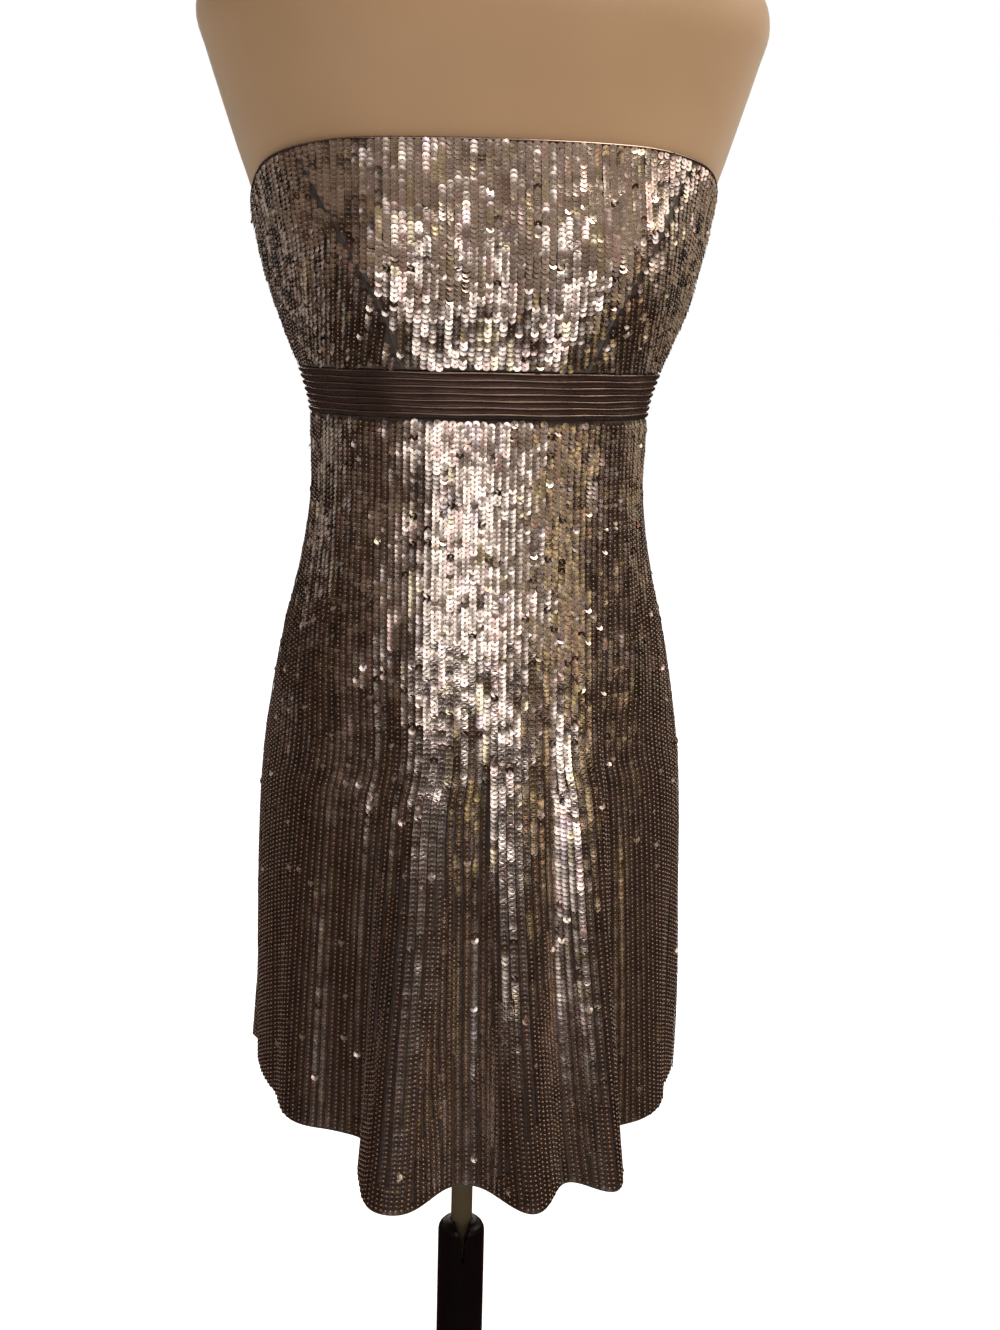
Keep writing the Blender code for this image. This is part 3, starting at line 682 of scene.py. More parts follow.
def add_rings(name, rings, sharpest, material, uv=None):
    """A body through closed rings of points, with flat ends and edges sharper than so many degrees."""
    index = np.arange(rings[..., 0].size).reshape(rings.shape[:2])
    after = np.roll(index, -1, axis=1)
    faces = np.stack([index[:-1], after[:-1], after[1:], index[1:]], axis=-1).reshape(-1, 4)
    obj = add_mesh(name, rings.reshape(-1, 3), faces, material, uv)
    bm = bmesh.new()
    bm.from_mesh(obj.data)
    bmesh.ops.holes_fill(bm, edges=[e for e in bm.edges if e.is_boundary], sides=0)
    bmesh.ops.recalc_face_normals(bm, faces=bm.faces)
    bm.to_mesh(obj.data)
    bm.free()
    obj.data.shade_smooth()
    obj.data.set_sharp_from_angle(angle=math.radians(sharpest))
    return obj


def add_turned(name, profile, sides, material):
    """A turned body from a profile of (radius, height) points."""
    turn = np.linspace(0.0, 2 * math.pi, sides, endpoint=False)
    radius, height = np.array(profile).T[..., None]
    rings = np.stack([radius * np.cos(turn), radius * np.sin(turn), height + 0.0 * turn], axis=-1)
    return add_rings(name, rings, SHARP_TURNED, material)


# ---- Materials ----


class Nodes:
    """The nodes of a material or of the world, and short ways to add to them."""

    def __init__(self, owner):
        owner.use_nodes = True
        self.owner = owner
        self.tree = owner.node_tree
        self.shader = self.tree.nodes.get("Principled BSDF")

    def put(self, node, key, value):
        """Gives an input of a node a value, or links it from another node's output."""
        if isinstance(value, bpy.types.NodeSocket):
            self.tree.links.new(value, node.inputs[key])
        else:
            node.inputs[key].default_value = value

    def add(self, kind, inputs=None, **settings):
        node = self.tree.nodes.new(kind)
        for key, value in settings.items():
            setattr(node, key, value)
        for key, value in (inputs or {}).items():
            self.put(node, key, value)
        return node

    def coordinates(self, kind="Object"):
        return self.add("ShaderNodeTexCoord").outputs[kind]

    def noise(self, scale, detail=3.0):
        inputs = {"Scale": scale, "Detail": detail, "Vector": self.coordinates()}
        return self.add("ShaderNodeTexNoise", inputs).outputs["Fac"]

    def waves(self, scale, axis, where):
        inputs = {"Scale": scale, "Vector": where}
        return self.add("ShaderNodeTexWave", inputs, bands_direction=axis).outputs["Fac"]

    def ramp(self, value, *stops):
        """A colour ramp of (place, colour) stops."""
        node = self.add("ShaderNodeValToRGB", {"Fac": value})
        elements = node.color_ramp.elements
        while len(elements) < len(stops):
            elements.new(0.5)
        for element, (place, colour) in zip(elements, stops):
            element.position = place
            element.color = (*colour, 1.0)
        return node.outputs["Color"]

    def span(self, value, low, high):
        """A value from 0 to 1 spread over a range."""
        inputs = {"Value": value, "To Min": low, "To Max": high}
        return self.add("ShaderNodeMapRange", inputs).outputs["Result"]

    def sum(self, one, two, share=0.5):
        return self.add("ShaderNodeMix", {"Factor": share, "A": one, "B": two}).outputs["Result"]

    def bump(self, value, strength, distance):
        inputs = {"Strength": strength, "Distance": distance, "Height": value}
        self.put(self.shader, "Normal", self.add("ShaderNodeBump", inputs).outputs["Normal"])

    def colour(self, output):
        self.put(self.shader, "Base Color", output)

    def rough(self, output):
        self.put(self.shader, "Roughness", output)


def material_nodes(name, roughness, metallic=0.0):
    """The nodes of a new Principled material."""
    nodes = Nodes(bpy.data.materials.new(name))
    nodes.shader.inputs["Roughness"].default_value = roughness
    nodes.shader.inputs["Metallic"].default_value = metallic
    return nodes


def sequin_material():
    """Metallic film discs, each with its own tint."""
    nodes = material_nodes("sequin_film", 0.2, 1.0)
    tint = nodes.add("ShaderNodeAttribute", attribute_name="tint")
    nodes.colour(tint.outputs["Color"])
    nodes.rough(nodes.span(nodes.noise(700.0, 2.0), 0.20, 0.32))
    nodes.bump(nodes.noise(900.0, 2.0), 0.25, 0.0001)
    return nodes.owner


def thread_material():
    nodes = material_nodes("sewing_thread", 0.45)
    nodes.colour(nodes.ramp(nodes.noise(400.0), (0.3, (0.25, 0.17, 0.13)), (0.7, (0.44, 0.325, 0.255))))
    nodes.shader.inputs["Sheen Weight"].default_value = 0.3
    nodes.bump(nodes.noise(3000.0), 0.3, 0.0001)
    return nodes.owner


def net_material():
    """The dark woven ground that the sequins are sewn to."""
    nodes = material_nodes("sequin_ground", 0.75)
    where = nodes.coordinates("UV")
    weave = nodes.sum(nodes.waves(700.0, "X", where), nodes.waves(700.0, "Y", where))
    nodes.colour(nodes.ramp(weave, (0.25, (0.028, 0.017, 0.013)), (0.8, (0.056, 0.036, 0.028))))
    nodes.shader.inputs["Sheen Weight"].default_value = 0.2
    nodes.bump(weave, 0.5, 0.0003)
    return nodes.owner


def satin_material():
    """Dark satin with fine ribs across each tuck."""
    nodes = material_nodes("band_satin", 0.22, 0.95)
    where = nodes.coordinates("UV")
    ribs = nodes.waves(640.0, "X", where)
    worn = nodes.noise(60.0, 4.0)
    nodes.colour(nodes.ramp(worn, (0.3, (0.25, 0.182, 0.158)), (0.7, (0.33, 0.243, 0.210))))
    nodes.rough(nodes.span(worn, 0.18, 0.24))
    nodes.bump(ribs, 0.25, 0.0002)
    return nodes.owner


def jersey_material():
    """The smooth knitted cover of the dress form."""
    nodes = material_nodes("form_jersey", 0.5)
    where = nodes.coordinates("UV")
    knit = nodes.sum(nodes.waves(420.0, "X", where), nodes.waves(560.0, "Y", where), 0.4)
    patches = nodes.noise(5.0, 3.0)
    nodes.colour(nodes.ramp(patches, (0.35, (0.315, 0.196, 0.102)), (0.65, (0.36, 0.227, 0.122))))
    nodes.rough(nodes.span(nodes.noise(30.0), 0.40, 0.52))
    nodes.shader.inputs["Sheen Weight"].default_value = 0.25
    nodes.bump(knit, 0.15, 0.0002)
    return nodes.owner


def painted_material(name, dark, light, roughness, metallic, grain, strength, gloss=0.5):
    """Paint with a fine grain and slight wear in its gloss."""
    nodes = material_nodes(name, roughness, metallic)
    nodes.shader.inputs["Specular IOR Level"].default_value = gloss
    nodes.colour(nodes.ramp(nodes.noise(14.0, 4.0), (0.3, dark), (0.7, light)))
    nodes.rough(nodes.span(nodes.noise(45.0, 4.0), roughness - 0.06, roughness + 0.08))
    nodes.bump(nodes.noise(grain, 2.0), strength, 0.0002)
    return nodes.owner


# ---- The dress ----


def other_princess(height):
    return -princess_seam(height)


def side_front_grain(side):
    """The line of a side front that falls plumb, as seen from the front."""
    heights, half_widths = np.array(FORM_SECTIONS).T[:2]
    return lambda height: side * np.degrees(
        np.arcsin(PLUMB_LINE / smooth_curve(heights, half_widths + EASE, height))
    )


LEFT_SIDE, RIGHT_SIDE = fixed(SIDE_SEAM), fixed(-SIDE_SEAM)
LEFT_BACK, RIGHT_BACK = fixed(BACK_SEAM), fixed(-BACK_SEAM)
MIDDLE = fixed(0.0)
PLAIN = (SEAM_MARGIN, SEAM_MARGIN)
ZIP_LEFT = (SEAM_MARGIN, BACK_MARGIN)
ZIP_RIGHT = (BACK_MARGIN, SEAM_MARGIN)


def bodice_panel(name, first, last, *cut):
    bottom = fixed(BAND_TOP + SEAM_GAP / 2)
    return Panel("bodice_" + name, bodice_surface, first, last, bottom, top_edge, *cut)


def band_panel(name, first, last, width):
    bottom, top = fixed(BAND_BOTTOM + SEAM_GAP / 2), fixed(BAND_TOP - SEAM_GAP / 2)
    return Panel("band_" + name, bodice_plain, first, last, bottom, top, (width, BAND_FLAT_HEIGHT))


def skirt_panel(name, first, last, *cut):
    top = fixed(BAND_BOTTOM - SEAM_GAP / 2)
    return Panel("skirt_" + name, skirt_surface, first, last, hem_height, top, *cut)


SEQUINNED_PANELS = [
    bodice_panel("front", other_princess, princess_seam, (0.270, 0.164), 0.0279, MIDDLE, PLAIN),
    bodice_panel("side_front_left", princess_seam, LEFT_SIDE, (0.136, 0.164), 0.0156,
                 side_front_grain(1), PLAIN),
    bodice_panel("side_front_right", RIGHT_SIDE, other_princess, (0.136, 0.164), 0.0156,
                 side_front_grain(-1), PLAIN),
    bodice_panel("back_left", LEFT_SIDE, LEFT_BACK, (0.205, 0.107), 0.0178, LEFT_BACK, ZIP_LEFT),
    bodice_panel("back_right", RIGHT_BACK, RIGHT_SIDE, (0.205, 0.107), 0.0178, RIGHT_BACK, ZIP_RIGHT),
    skirt_panel("front", RIGHT_SIDE, LEFT_SIDE, (0.612, 0.509), 0.2162, MIDDLE, PLAIN),
    skirt_panel("back_left", LEFT_SIDE, LEFT_BACK, (0.267, 0.487), 0.1023, LEFT_BACK, ZIP_LEFT),
    skirt_panel("back_right", RIGHT_BACK, RIGHT_SIDE, (0.272, 0.486), 0.1027, RIGHT_BACK, ZIP_RIGHT),
]
BAND_PANELS = [
    band_panel("front", RIGHT_SIDE, LEFT_SIDE, 0.378),
    band_panel("back_left", LEFT_SIDE, LEFT_BACK, 0.172),
    band_panel("back_right", RIGHT_BACK, RIGHT_SIDE, 0.172),
]


def sequin_columns(panel):
    """The lines that a panel's sequins are sewn on: each one's angle at every level, and where it runs.

    They lie evenly spaced beside the grain line. Below the hips they fall straight, and where a fold
    spreads them too far apart others start between them. They leave the zip free.
    """
    angles = np.linspace(-TRACE_REACH, TRACE_REACH, TRACE_STEPS)
    angles = angles[abs(angles - panel.grain(BAND_TOP)) < TRACE_ARC]
    edge = np.linspace(panel.first(BAND_TOP), panel.last(BAND_TOP), EDGE_SAMPLES)
    lowest = panel.bottom(edge).min() - TRACE_MARGIN
    highest = panel.top(edge).max() + TRACE_MARGIN
    levels = np.arange(highest, lowest, -LEVEL_STEP)
    points = panel.surface(angles[None, :], levels[:, None])
    steps = np.linalg.norm(np.diff(points, axis=1), axis=-1)
    arcs = np.pad(np.cumsum(steps, axis=1), ((0, 0), (1, 0)))
    grain = panel.grain(levels)
    starts = np.array([np.interp(g, angles, arc) for g, arc in zip(grain, arcs)])
    density = np.gradient(arcs, angles, axis=1) / COLUMN_SPACING
    counts = (arcs - starts[:, None]) / COLUMN_SPACING
    if panel.surface is skirt_surface:
        straight = np.flatnonzero(levels < STRAIGHT_BELOW)
        even = density[straight[0] - 1]
        for i in straight:
            counts[i] = straight_counts(angles, density[i], even, panel.grain(levels[i]))
    spread = density * COLUMN_SPACING / np.gradient(counts, angles, axis=1)
    places = np.arange(math.floor(counts.min()) + 0.5, counts.max(), 1 / EIGHTHS)
    needed = fewest_gaps(len(places))
    lines, inside = [], []
    for i in range(len(levels)):
        line = np.interp(places, counts[i], angles)
        arc = np.interp(line, angles, arcs[i])
        one, two = panel.margins if levels[i] > ZIP_LOW else PLAIN
        first = np.interp(panel.first(levels[i]), angles, arcs[i]) + one
        last = np.interp(panel.last(levels[i]), angles, arcs[i]) - two
        gap = np.interp(line, angles, spread[i]) / COLUMN_SPACING
        lines.append(line)
        inside.append((arc > first) & (arc < last) & (gap > needed))
    return levels, np.array(lines).T, np.array(inside).T


def straight_counts(angles, density, even, grain):
    """Columns counted from the grain line, as many each way as higher up, fewest on steep walls."""
    extra = density - even
    steep = np.clip(density / even - 1, 0, None) ** 2
    kept = np.empty_like(density)
    for side in (angles < grain, angles >= grain):
        low, high = 0.0, STEEPEST_SHARE
        for _ in range(HALVINGS):
            share = (low + high) / 2
            tried = np.maximum(LEAST_DENSITY * even, density - share * steep * extra)
            too_many = tried[side].sum() > even[side].sum()
            low, high = (share, high) if too_many else (low, share)
        kept[side] = (tried[side] + even[side]) / 2
    counts = np.cumsum(kept) * (angles[1] - angles[0])
    return counts - np.interp(grain, angles, counts)


def fewest_gaps(count):
    """How far apart whole columns must lie for each of a row of eighth places to be sewn too."""
    needed = np.full(count, EIGHTH_GAP)
    needed[::EIGHTHS] = 0.0
    needed[EIGHTHS // 2::EIGHTHS] = HALF_GAP
    needed[EIGHTHS // 4::EIGHTHS // 2] = QUARTER_GAP
    return needed


def sequin_places(panel, random):
    """The angle, height and column of every sequin of a panel, column by column."""
    levels, lines, inside = sequin_columns(panel)
    from_hem = panel.surface is skirt_surface
    angles, heights, columns = [], [], []
    for column, (line, kept) in enumerate(zip(lines, inside)):
        if not kept.any():
            continue
        points = panel.surface(line, levels)
        run = np.pad(np.cumsum(np.linalg.norm(np.diff(points, axis=0), axis=-1)), (1, 0))
        top = np.interp(0.0, panel.top(line) - levels, run)
        low = np.interp(0.0, panel.bottom(line) - levels, run)
        if from_hem:
            spots = np.arange(low - HEM_MARGIN, top + EDGE_MARGIN, -ROW_PITCH)
        else:
            start = top + TOP_MARGIN + TOP_STAGGER * random.random()
            spots = np.arange(start, low - EDGE_MARGIN, ROW_PITCH)
        spots = spots + random.normal(0.0, ROW_JITTER, len(spots))
        fits = np.interp(spots, run, kept.astype(float)) > NEARLY_ALL
        spots = spots[fits]
        angles.append(np.interp(spots, run, line))
        heights.append(np.interp(spots, run, levels))
        columns.append(np.full(len(spots), column))
    return np.concatenate(angles), np.concatenate(heights), np.concatenate(columns)


def runs(columns, random):
    """A number for each run of neighbours in a column, which lie alike."""
    starts = random.random(len(columns)) < 1 / RUN_LENGTH
    starts |= np.pad(np.diff(columns) != 0, (1, 0), constant_values=True)
    return np.cumsum(starts) - 1


def patches(angle, height, random):
    """A smooth uneven field over the cloth, about -1 to 1, with patches one to four centimetres wide."""
    field = 0.0
    for fineness in PATCH_FINENESS:
        along = fineness * random.normal(0.0, PATCH_ROUND)
        up = fineness * random.normal(0.0, PATCH_UP)
        phase = random.random() * 2 * math.pi
        field = field + np.sin(angle * along + height * up + phase)
    return field / PATCH_SCALE


def placed_leans(angle, height):
    """How far the sequins lean back and turn at their places, by the table."""
    back, turn = 0.0, 0.0
    for lean in LEANS:
        share = bell(turn_between(angle, lean.angle), lean.span)
        share = share * bell(height - lean.height, lean.reach)
        back = back + math.radians(lean.back) * share
        turn = turn + math.radians(lean.turn) * share
    return back, turn


def sequin_tints(run, random):
    """Brown film, with runs that lean to gold, violet or rose."""
    kind = random.random(run.max() + 1)[run]
    colour = np.tile(SEQUIN_BROWN, (len(run), 1))
    for low, high, tint in TINT_SHARES:
        colour[(kind >= low) & (kind < high)] = tint
    shade = random.normal(1.0, RUN_SHADE, run.max() + 1)[run] * random.normal(1.0, OWN_SHADE, len(run))
    return np.clip(colour * shade[:, None], 0.0, BRIGHTEST)


def tilted(normal, up, across, lie, turn):
    """Frames of discs that lean back by lie and turn sideways by turn."""
    lean = np.cos(lie)[:, None] * normal + np.sin(lie)[:, None] * up
    high = np.cos(lie)[:, None] * up - np.sin(lie)[:, None] * normal
    face = np.cos(turn)[:, None] * lean + np.sin(turn)[:, None] * across
    side = np.cos(turn)[:, None] * across - np.sin(turn)[:, None] * lean
    return face, high, side


def sequin_tilts(run, angle, height, slope, random):
    """How far each sequin leans back and turns towards +X, on cloth that faces up by its slope."""
    turn = random.normal(0.0, RUN_TURN, run.max() + 1)[run]
    lie = random.normal(0.0, RUN_LIE, run.max() + 1)[run]
    turn_field = patches(angle, height, random)
    lie_field = patches(angle, height, random)
    unrest = np.interp(height, UNREST_HEIGHTS, UNREST)
    turn = unrest * (turn + PATCH_TURN * turn_field + random.normal(0.0, OWN_TURN, len(run)))
    lie = unrest * (lie + PATCH_LIE * lie_field + random.normal(0.0, OWN_LIE, len(run)))
    back, aside = placed_leans(angle, height)
    hang = np.where(slope > 0, HANG_FLARE, HANG_OVER) * slope
    lie = lie + back + np.maximum(SEQUIN_LIE - hang, LEAST_LIE)
    turn = turn + aside
    loose = random.random(len(run)) < np.interp(height, LOOSE_HEIGHTS, LOOSE_SHARES)
    turn = turn + loose * random.normal(0.0, LOOSE_TURN, len(run))
    lie = lie + loose * random.normal(0.0, LOOSE_TURN, len(run))
    return lie, turn


def disc_points(centre, face, high, side, spin):
    """The outer ring of each cupped disc, then the ring of its hole."""
    ring = 2 * math.pi * np.arange(SEQUIN_SIDES) / SEQUIN_SIDES
    spokes = around(spin[:, None] + ring, side, high)
    outer = centre[:, None] + SEQUIN_RADIUS * spokes + face[:, None] * SEQUIN_RISE / 2
    inner = centre[:, None] + SEQUIN_HOLE * spokes - face[:, None] * SEQUIN_RISE / 2
    return np.concatenate([outer, inner], axis=1)


def knot_points(centre, face, high, side):
    """The four feet and the peak of the stitch in each hole."""
    middle = centre - high * STITCH_DROP
    peak = middle + face * (STITCH_HEIGHT - SEQUIN_RISE / 2)
    feet = around(2 * math.pi * np.arange(4) / 4, side, high)
    feet = middle[:, None] + STITCH_RADIUS * feet - face[:, None] * SEQUIN_RISE
    return np.concatenate([feet, peak[:, None]], axis=1)


def repeated(faces, points):
    """The faces of one small shape, for each of many shapes of as many points."""
    starts = points.shape[1] * np.arange(len(points))
    return (faces[None] + starts[:, None, None]).reshape(-1, faces.shape[1])


def make_sequins(panel, number, film, thread):
    """A panel's sequins, in objects under the triangle limit, and the stitches in their holes."""
    random = np.random.default_rng(100 + number)
    angle, height, column = sequin_places(panel, random)
    point, along, up, out = directions(panel.surface, angle, height)
    run = runs(column, random)
    lie, turn = sequin_tilts(run, angle, height, np.arcsin(out[:, 2]), random)
    face, high, side = tilted(out, up, along, lie, turn)
    tier = np.where(column % EIGHTHS == 0, column // EIGHTHS % 2, 0.5)
    centre = point + out * (SEQUIN_LIFT - SHELL_OUTER + COLUMN_TIER * (tier - 0.5))[:, None]
    spin = random.random(len(run)) * math.pi / 4
    discs = disc_points(centre, face, high, side, spin)
    knots = knot_points(centre, face, high, side)
    tints = np.pad(sequin_tints(run, random), ((0, 0), (0, 1)), constant_values=1.0)

    here = np.arange(SEQUIN_SIDES)
    after = (here + 1) % SEQUIN_SIDES
    disc = np.stack([here, after, after + SEQUIN_SIDES, here + SEQUIN_SIDES], axis=-1)
    knot = np.array([[0, 1, 4], [1, 2, 4], [2, 3, 4], [3, 0, 4]])
    made = []
    for part, start in enumerate(range(0, len(run), MOST_SEQUINS), 1):
        some = discs[start:start + MOST_SEQUINS]
        colours = np.repeat(tints[start:start + MOST_SEQUINS], some.shape[1], axis=0)
        name = f"sequins_{panel.name}_{part}"
        made.append(add_mesh(name, some.reshape(-1, 3), repeated(disc, some), film, colours=colours))
    name = f"stitches_{panel.name}"
    made.append(add_mesh(name, knots.reshape(-1, 3), repeated(knot, knots), thread))
    for obj in made:
        put_on(obj, "form")
    return made


def edge_path(panel, row, trim):
    """Points along a panel's lower edge, row 0, or its upper one, row 1, where a trim runs."""
    columns = round(panel.flat[0] / TRIM_STEP) + 1
    angle, height = panel_grid(panel, np.array([row]), columns)
    point, _, _, out = directions(panel.surface, angle[0], height[0])
    path = point - out * trim.inset
    path[:, 2] -= trim.drop
    return path


def make_trim(panel, materials):
    """The folded hem of a skirt panel, or the roll of satin round the top of a bodice panel."""
    if panel.surface is skirt_surface:
        name, row, trim, look, slot = "hem_fold_", 0.0, HEM_FOLD, "net", "sequin_cloth"
    else:
        name, row, trim, look, slot = "top_roll_", 1.0, TOP_ROLL, "satin", "satin_band"
    path = edge_path(panel, row, trim)
    obj = sweep(name + panel.name, path, trim.radius, TRIM_SIDES, materials[look])
    put_on(obj, "form")
    return obj


def make_band(material):
    """The tucked satin band: each tuck rises slowly to a round crest near its top."""
    rows = np.concatenate([(tuck + TUCK_PLACES) / TUCK_COUNT for tuck in range(TUCK_COUNT)] + [[1.0]])
    lifts = np.concatenate([TUCK_DEPTH * TUCK_LIFTS] * TUCK_COUNT + [[0.0]])
    inside = (rows > BAND_EDGE_SHARE) & (rows < 1 - BAND_EDGE_SHARE)
    for panel in BAND_PANELS:
        angle, height = panel_grid(panel, rows, round(panel.flat[0] / BAND_STEP) + 1)
        points, _, _, out = directions(panel.surface, angle, height)
        waver = WAVER * np.sin(angle * WAVER_ROUND + rows[:, None] * WAVER_UP)
        waver = waver + RISE * bell(turn_between(angle, RISE_ANGLE), RISE_SPREAD)
        outer = points + out * (lifts - BAND_OUTER)[:, None, None]
        outer[..., 2] += waver * inside[:, None]
        obj = add_wall(panel.name + "_satin", points, out, outer, material)
        put_on(obj, "form", panel.name)


def make_dress(materials):
    for number, panel in enumerate(SEQUINNED_PANELS):
        shell = make_shell(panel, materials["net"])
        put_on(shell, "form", panel.name)
        trims = make_sequins(panel, number, materials["film"], materials["thread"])
        trims.append(make_trim(panel, materials))
    make_band(materials["satin"])


# ---- The zip, the form and its stand ----


def zip_surface(height):
    """The centre back at a height, on the bodice, band or skirt."""
    if height > BAND_BOTTOM:
        return bodice_plain(np.array(BACK_SEAM), np.array(height))
    return skirt_surface(np.array(BACK_SEAM), np.array(height))


def make_zip(material):
    """The closed teeth of the zip, below the slider."""
    bm = bmesh.new()
    for i in range(round((ZIP_TOP - ZIP_LOW) / TOOTH_PITCH)):
        height = ZIP_TOP - i * TOOTH_PITCH
        made = bmesh.ops.create_cube(bm, size=1.0)["verts"]
        bmesh.ops.scale(bm, vec=TOOTH_SIZE, verts=made)
        where = ((-1) ** i * TOOTH_SHIFT, zip_surface(height)[1] + TOOTH_LIFT, height)
        bmesh.ops.translate(bm, vec=where, verts=made)
    mesh = bpy.data.meshes.new("zip_teeth")
    bm.to_mesh(mesh)
    bm.free()
    mesh.materials.append(material)
    obj = add_object("zip_teeth", mesh)
    bevel = obj.modifiers.new("Round", "BEVEL")
    bevel.width = TOOTH_EDGE
    bevel.segments = 1
    put_on(obj, "form")


def make_form(material):
    """The form's skin, finer than its solid, with flat ends."""
    low, high = FORM_SECTIONS[0].height, FORM_SECTIONS[-1].height
    edge = np.linspace(low, low + FORM_EDGE_HEIGHT, FORM_EDGE_ROWS)
    rest = np.linspace(low + FORM_REST_HEIGHT, high, round((high - low) / FORM_ROW_STEP))
    height = np.concatenate([edge, rest])[:, None]
    angle = np.linspace(-180.0, 180.0, FORM_COLUMNS, endpoint=False) + 0.0 * height
    points = form_surface(angle, height)
    u = np.radians(angle) * FORM_KNIT_RADIUS
    uv = np.stack([u, height + 0.0 * u], axis=-1).reshape(-1, 2)
    obj = add_rings("dress_form_cover", points, SHARP_ROUND, material, uv)
    put_on(obj, "form", "dress_form")


def round_corner(centre_radius, centre_height, radius, start, end, steps):
    """Points of a profile round a corner, from one angle to another."""
    turn = np.radians(np.linspace(start, end, steps + 1))
    return [(centre_radius + radius * math.cos(t), centre_height + radius * math.sin(t)) for t in turn]


def make_base(material):
    """The base with its boss, whose edges are rounder than the solid's."""
    socket = TUBE_RADIUS + FIT_GAP
    rim = BASE_RADIUS - BASE_EDGE
    shoulder = BOSS_RADIUS - BOSS_EDGE, BOSS_HEIGHT - BOSS_EDGE
    profile = [
        (socket, BASE_THICKNESS),
        (socket, BOSS_HEIGHT),
        *round_corner(*shoulder, BOSS_EDGE, 90, 0, BOSS_EDGE_STEPS),
        (BOSS_RADIUS, BASE_THICKNESS + BASE_EDGE),
        (BOSS_RADIUS + BASE_EDGE, BASE_THICKNESS),
        *round_corner(rim, BASE_THICKNESS - BASE_EDGE, BASE_EDGE, 90, 0, BASE_EDGE_STEPS),
        *round_corner(rim, BASE_EDGE, BASE_EDGE, 0, -90, BASE_EDGE_STEPS),
    ]
    base = add_turned("base_plate", profile, BASE_SIDES, material)
    put_on(base, "stand", "base")


def paint_solids(materials):
    """Gives the solids that are carried over from the CAD their materials."""
    looks = {
        "pole": "pole",
        "mast_tube": "tube",
        "form_flange": "base",
        "zip_slider": "zip",
        "zip_pull": "zip",
    }
    for name, look in looks.items():
        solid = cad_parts[name]
        for i in range(max(1, len(solid.data.materials))):
            if i < len(solid.material_slots):
                solid.material_slots[i].material = materials[look]
            else:
                solid.data.materials.append(materials[look])


# ---- The studio ----

# Where each light stands, as seen from the dress, and how far it reaches each way, in degrees
Light = namedtuple("Light", "name azimuth elevation half_width half_height radiance colour")

LIGHTS = [Light(*row) for row in (
    ("key", -8.0, 14.5, 22.0, 6.0, 2.6, (1.0, 0.96, 0.93)),
    ("key_core", -1.0, 14.5, 10.0, 4.0, 2.2, (1.0, 0.97, 0.95)),
    ("upper_key", 4.0, 22.0, 36.0, 1.6, 0.6, (1.0, 0.93, 0.88)),
    ("warm_side", 45.0, 11.0, 8.5, 3.6, 2.1, (1.0, 0.80, 0.45)),
    ("corner", 92.0, 35.0, 20.0, 11.0, 1.9, (1.0, 0.92, 0.84)),
    ("high_side", 80.0, 64.0, 22.0, 12.0, 9.5, (1.0, 0.89, 0.74)),
    ("back_key", 178.0, 14.5, 22.0, 6.0, 2.6, (1.0, 0.96, 0.93)),
    ("back_upper", 176.0, 21.5, 36.0, 2.2, 0.8, (1.0, 0.95, 0.92)),
    ("back_side", 128.0, 10.0, 10.0, 7.0, 0.5, (1.0, 0.82, 0.55)),
    ("back_other_side", -122.0, 12.0, 10.0, 7.0, 0.5, (1.0, 0.93, 0.86)),
)]
LIGHT_TARGET = Vector((0.0, 0.0, 1.02))
LIGHT_DISTANCE = 6.0

# The room's colours at the floor's level and below, a little above it and overhead, the sines of the
# last two's elevations, and how bright the side at -X is beside the one at +X
ROOM_LOWEST = (0.0345, 0.0175, 0.0115)
ROOM_LOW = (0.045, 0.0245, 0.0165)
ROOM_HIGH = (0.272, 0.199, 0.148)
ROOM_LOW_SINE = 0.17
ROOM_HIGH_SINE = 0.46
ROOM_DIM_SIDE = 0.78

# The floor: how far from the middle it takes shadows and from where it is plain white, and its glow
FLOOR_SIZE = 30.0
FLOOR_SHADED = 0.5
FLOOR_WHITE = 1.6
FLOOR_GLOW = 0.84


def make_light(light):
    """An area light that faces the dress."""
    turn, rise = math.radians(light.azimuth), math.radians(light.elevation)
    level = LIGHT_DISTANCE * math.cos(rise)
    away = Vector((level * math.sin(turn), -level * math.cos(turn), LIGHT_DISTANCE * math.sin(rise)))
    place = LIGHT_TARGET + away
    width = 2 * LIGHT_DISTANCE * math.tan(math.radians(light.half_width))
    height = 2 * LIGHT_DISTANCE * math.tan(math.radians(light.half_height))
    data = bpy.data.lights.new(light.name, "AREA")
    data.shape = "RECTANGLE"
    data.size = width
    data.size_y = height
    data.energy = light.radiance * math.pi * width * height
    data.color = light.colour
    obj = add_object(light.name, data)
    obj.location = place
    obj.rotation_euler = (place - LIGHT_TARGET).to_track_quat("Z", "Y").to_euler()
    obj.visible_camera = False


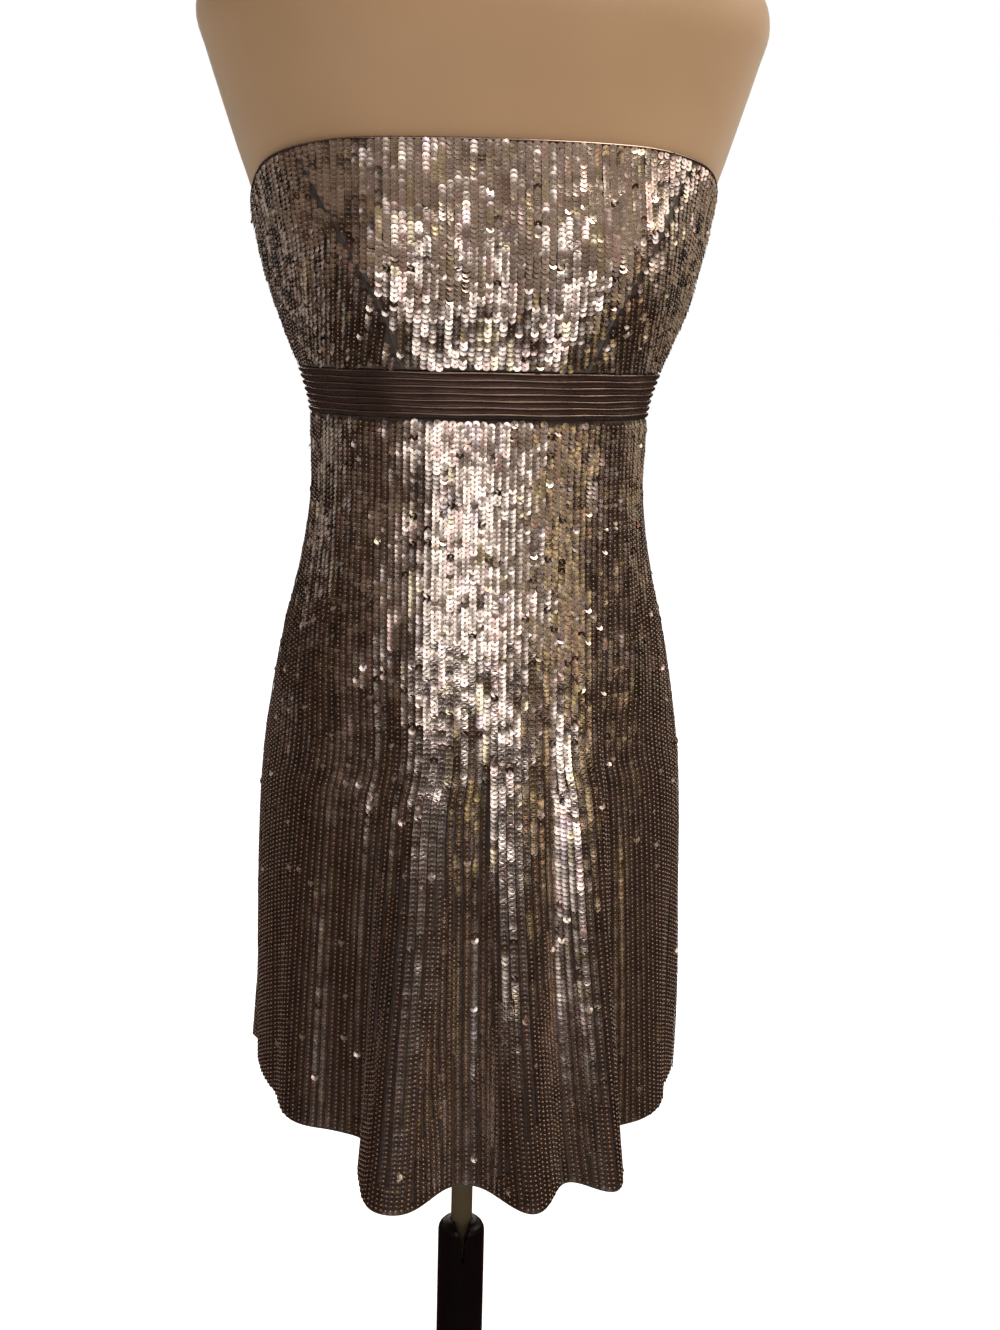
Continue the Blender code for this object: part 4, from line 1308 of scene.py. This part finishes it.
def make_world():
    """A warm room, dim low down and brighter overhead and at +X, and plain white behind the object."""
    world = bpy.data.worlds.new("studio")
    bpy.context.scene.world = world
    nodes = Nodes(world)
    nodes.tree.nodes.clear()
    away = nodes.add("ShaderNodeSeparateXYZ", {"Vector": nodes.coordinates("Generated")}).outputs
    stops = (0.0, ROOM_LOWEST), (ROOM_LOW_SINE, ROOM_LOW), (ROOM_HIGH_SINE, ROOM_HIGH)
    colour = nodes.ramp(away["Z"], *stops)
    side = {"Value": away["X"], "From Min": -1.0, "To Min": ROOM_DIM_SIDE}
    side = nodes.add("ShaderNodeMapRange", side).outputs["Result"]
    room = nodes.add("ShaderNodeBackground", {"Color": colour, "Strength": side})
    white = nodes.add("ShaderNodeBackground", {"Color": (1.0, 1.0, 1.0, 1.0)})
    seen = nodes.add("ShaderNodeLightPath").outputs["Is Camera Ray"]
    both = {"Fac": seen, 1: room.outputs["Background"], 2: white.outputs["Background"]}
    both = nodes.add("ShaderNodeMixShader", both).outputs["Shader"]
    nodes.add("ShaderNodeOutputWorld", {"Surface": both})


def make_floor():
    """A pale floor that takes a soft shadow near the stand and turns plain white further out."""
    nodes = material_nodes("pale_floor", 0.8)
    nodes.colour(nodes.ramp(nodes.noise(3.0), (0.3, (0.45, 0.45, 0.45)), (0.7, (0.47, 0.47, 0.47))))
    away = nodes.add("ShaderNodeVectorMath", {0: nodes.coordinates()}, operation="LENGTH")
    reach = {"From Min": FLOOR_SHADED, "From Max": FLOOR_WHITE, "To Min": FLOOR_GLOW, "To Max": 1.0}
    fade = nodes.add("ShaderNodeMapRange", reach, interpolation_type="SMOOTHSTEP")
    nodes.put(fade, "Value", away.outputs["Value"])
    nodes.put(nodes.shader, "Emission Strength", fade.outputs["Result"])
    nodes.shader.inputs["Emission Color"].default_value = (1.0, 1.0, 1.0, 1.0)
    half = FLOOR_SIZE / 2
    corners = np.array([[-half, -half, 0.0], [half, -half, 0.0], [half, half, 0.0], [-half, half, 0.0]])
    floor = add_mesh("floor", corners, np.array([[0, 1, 2, 3]]), nodes.owner)
    floor.visible_glossy = False


def make_camera():
    data = bpy.data.cameras.new("camera")
    data.lens = CAMERA_LENS
    data.shift_x = CAMERA_SHIFT
    data.clip_start = CAMERA_NEAR
    camera = add_object("camera", data)
    place = Vector((
        CAMERA_DISTANCE * math.sin(CAMERA_AZIMUTH),
        -CAMERA_DISTANCE * math.cos(CAMERA_AZIMUTH),
        CAMERA_HEIGHT,
    ))
    turned = Matrix.Rotation(CAMERA_AZIMUTH, 4, "Z")
    pitched = Matrix.Rotation(math.pi / 2 - CAMERA_PITCH, 4, "X")
    rolled = Matrix.Rotation(CAMERA_ROLL, 4, "Z")
    camera.matrix_world = Matrix.Translation(place) @ turned @ pitched @ rolled
    bpy.context.scene.camera = camera


def make_materials():
    return {
        "film": sequin_material(),
        "thread": thread_material(),
        "net": net_material(),
        "satin": satin_material(),
        "jersey": jersey_material(),
        "pole": painted_material("pole_paint", *POLE_OLIVE, 0.32, 0.35, 1500.0, 0.08),
        "tube": painted_material("tube_plastic", *TUBE_BLACK, 0.34, 0.0, 2200.0, 0.10, 0.25),
        "base": painted_material("base_paint", *BASE_BLACK, 0.46, 0.2, 2600.0, 0.35, 0.35),
        "zip": painted_material("zip_bronze", *ZIP_BRONZE, 0.34, 0.85, 1800.0, 0.10),
    }


def main():
    bpy.context.scene.view_settings.view_transform = "Standard"
    make_camera()
    for light in LIGHTS:
        make_light(light)
    make_world()
    make_floor()
    materials = make_materials()
    make_form(materials["jersey"])
    make_dress(materials)
    make_zip(materials["zip"])
    make_base(materials["base"])
    paint_solids(materials)


main()
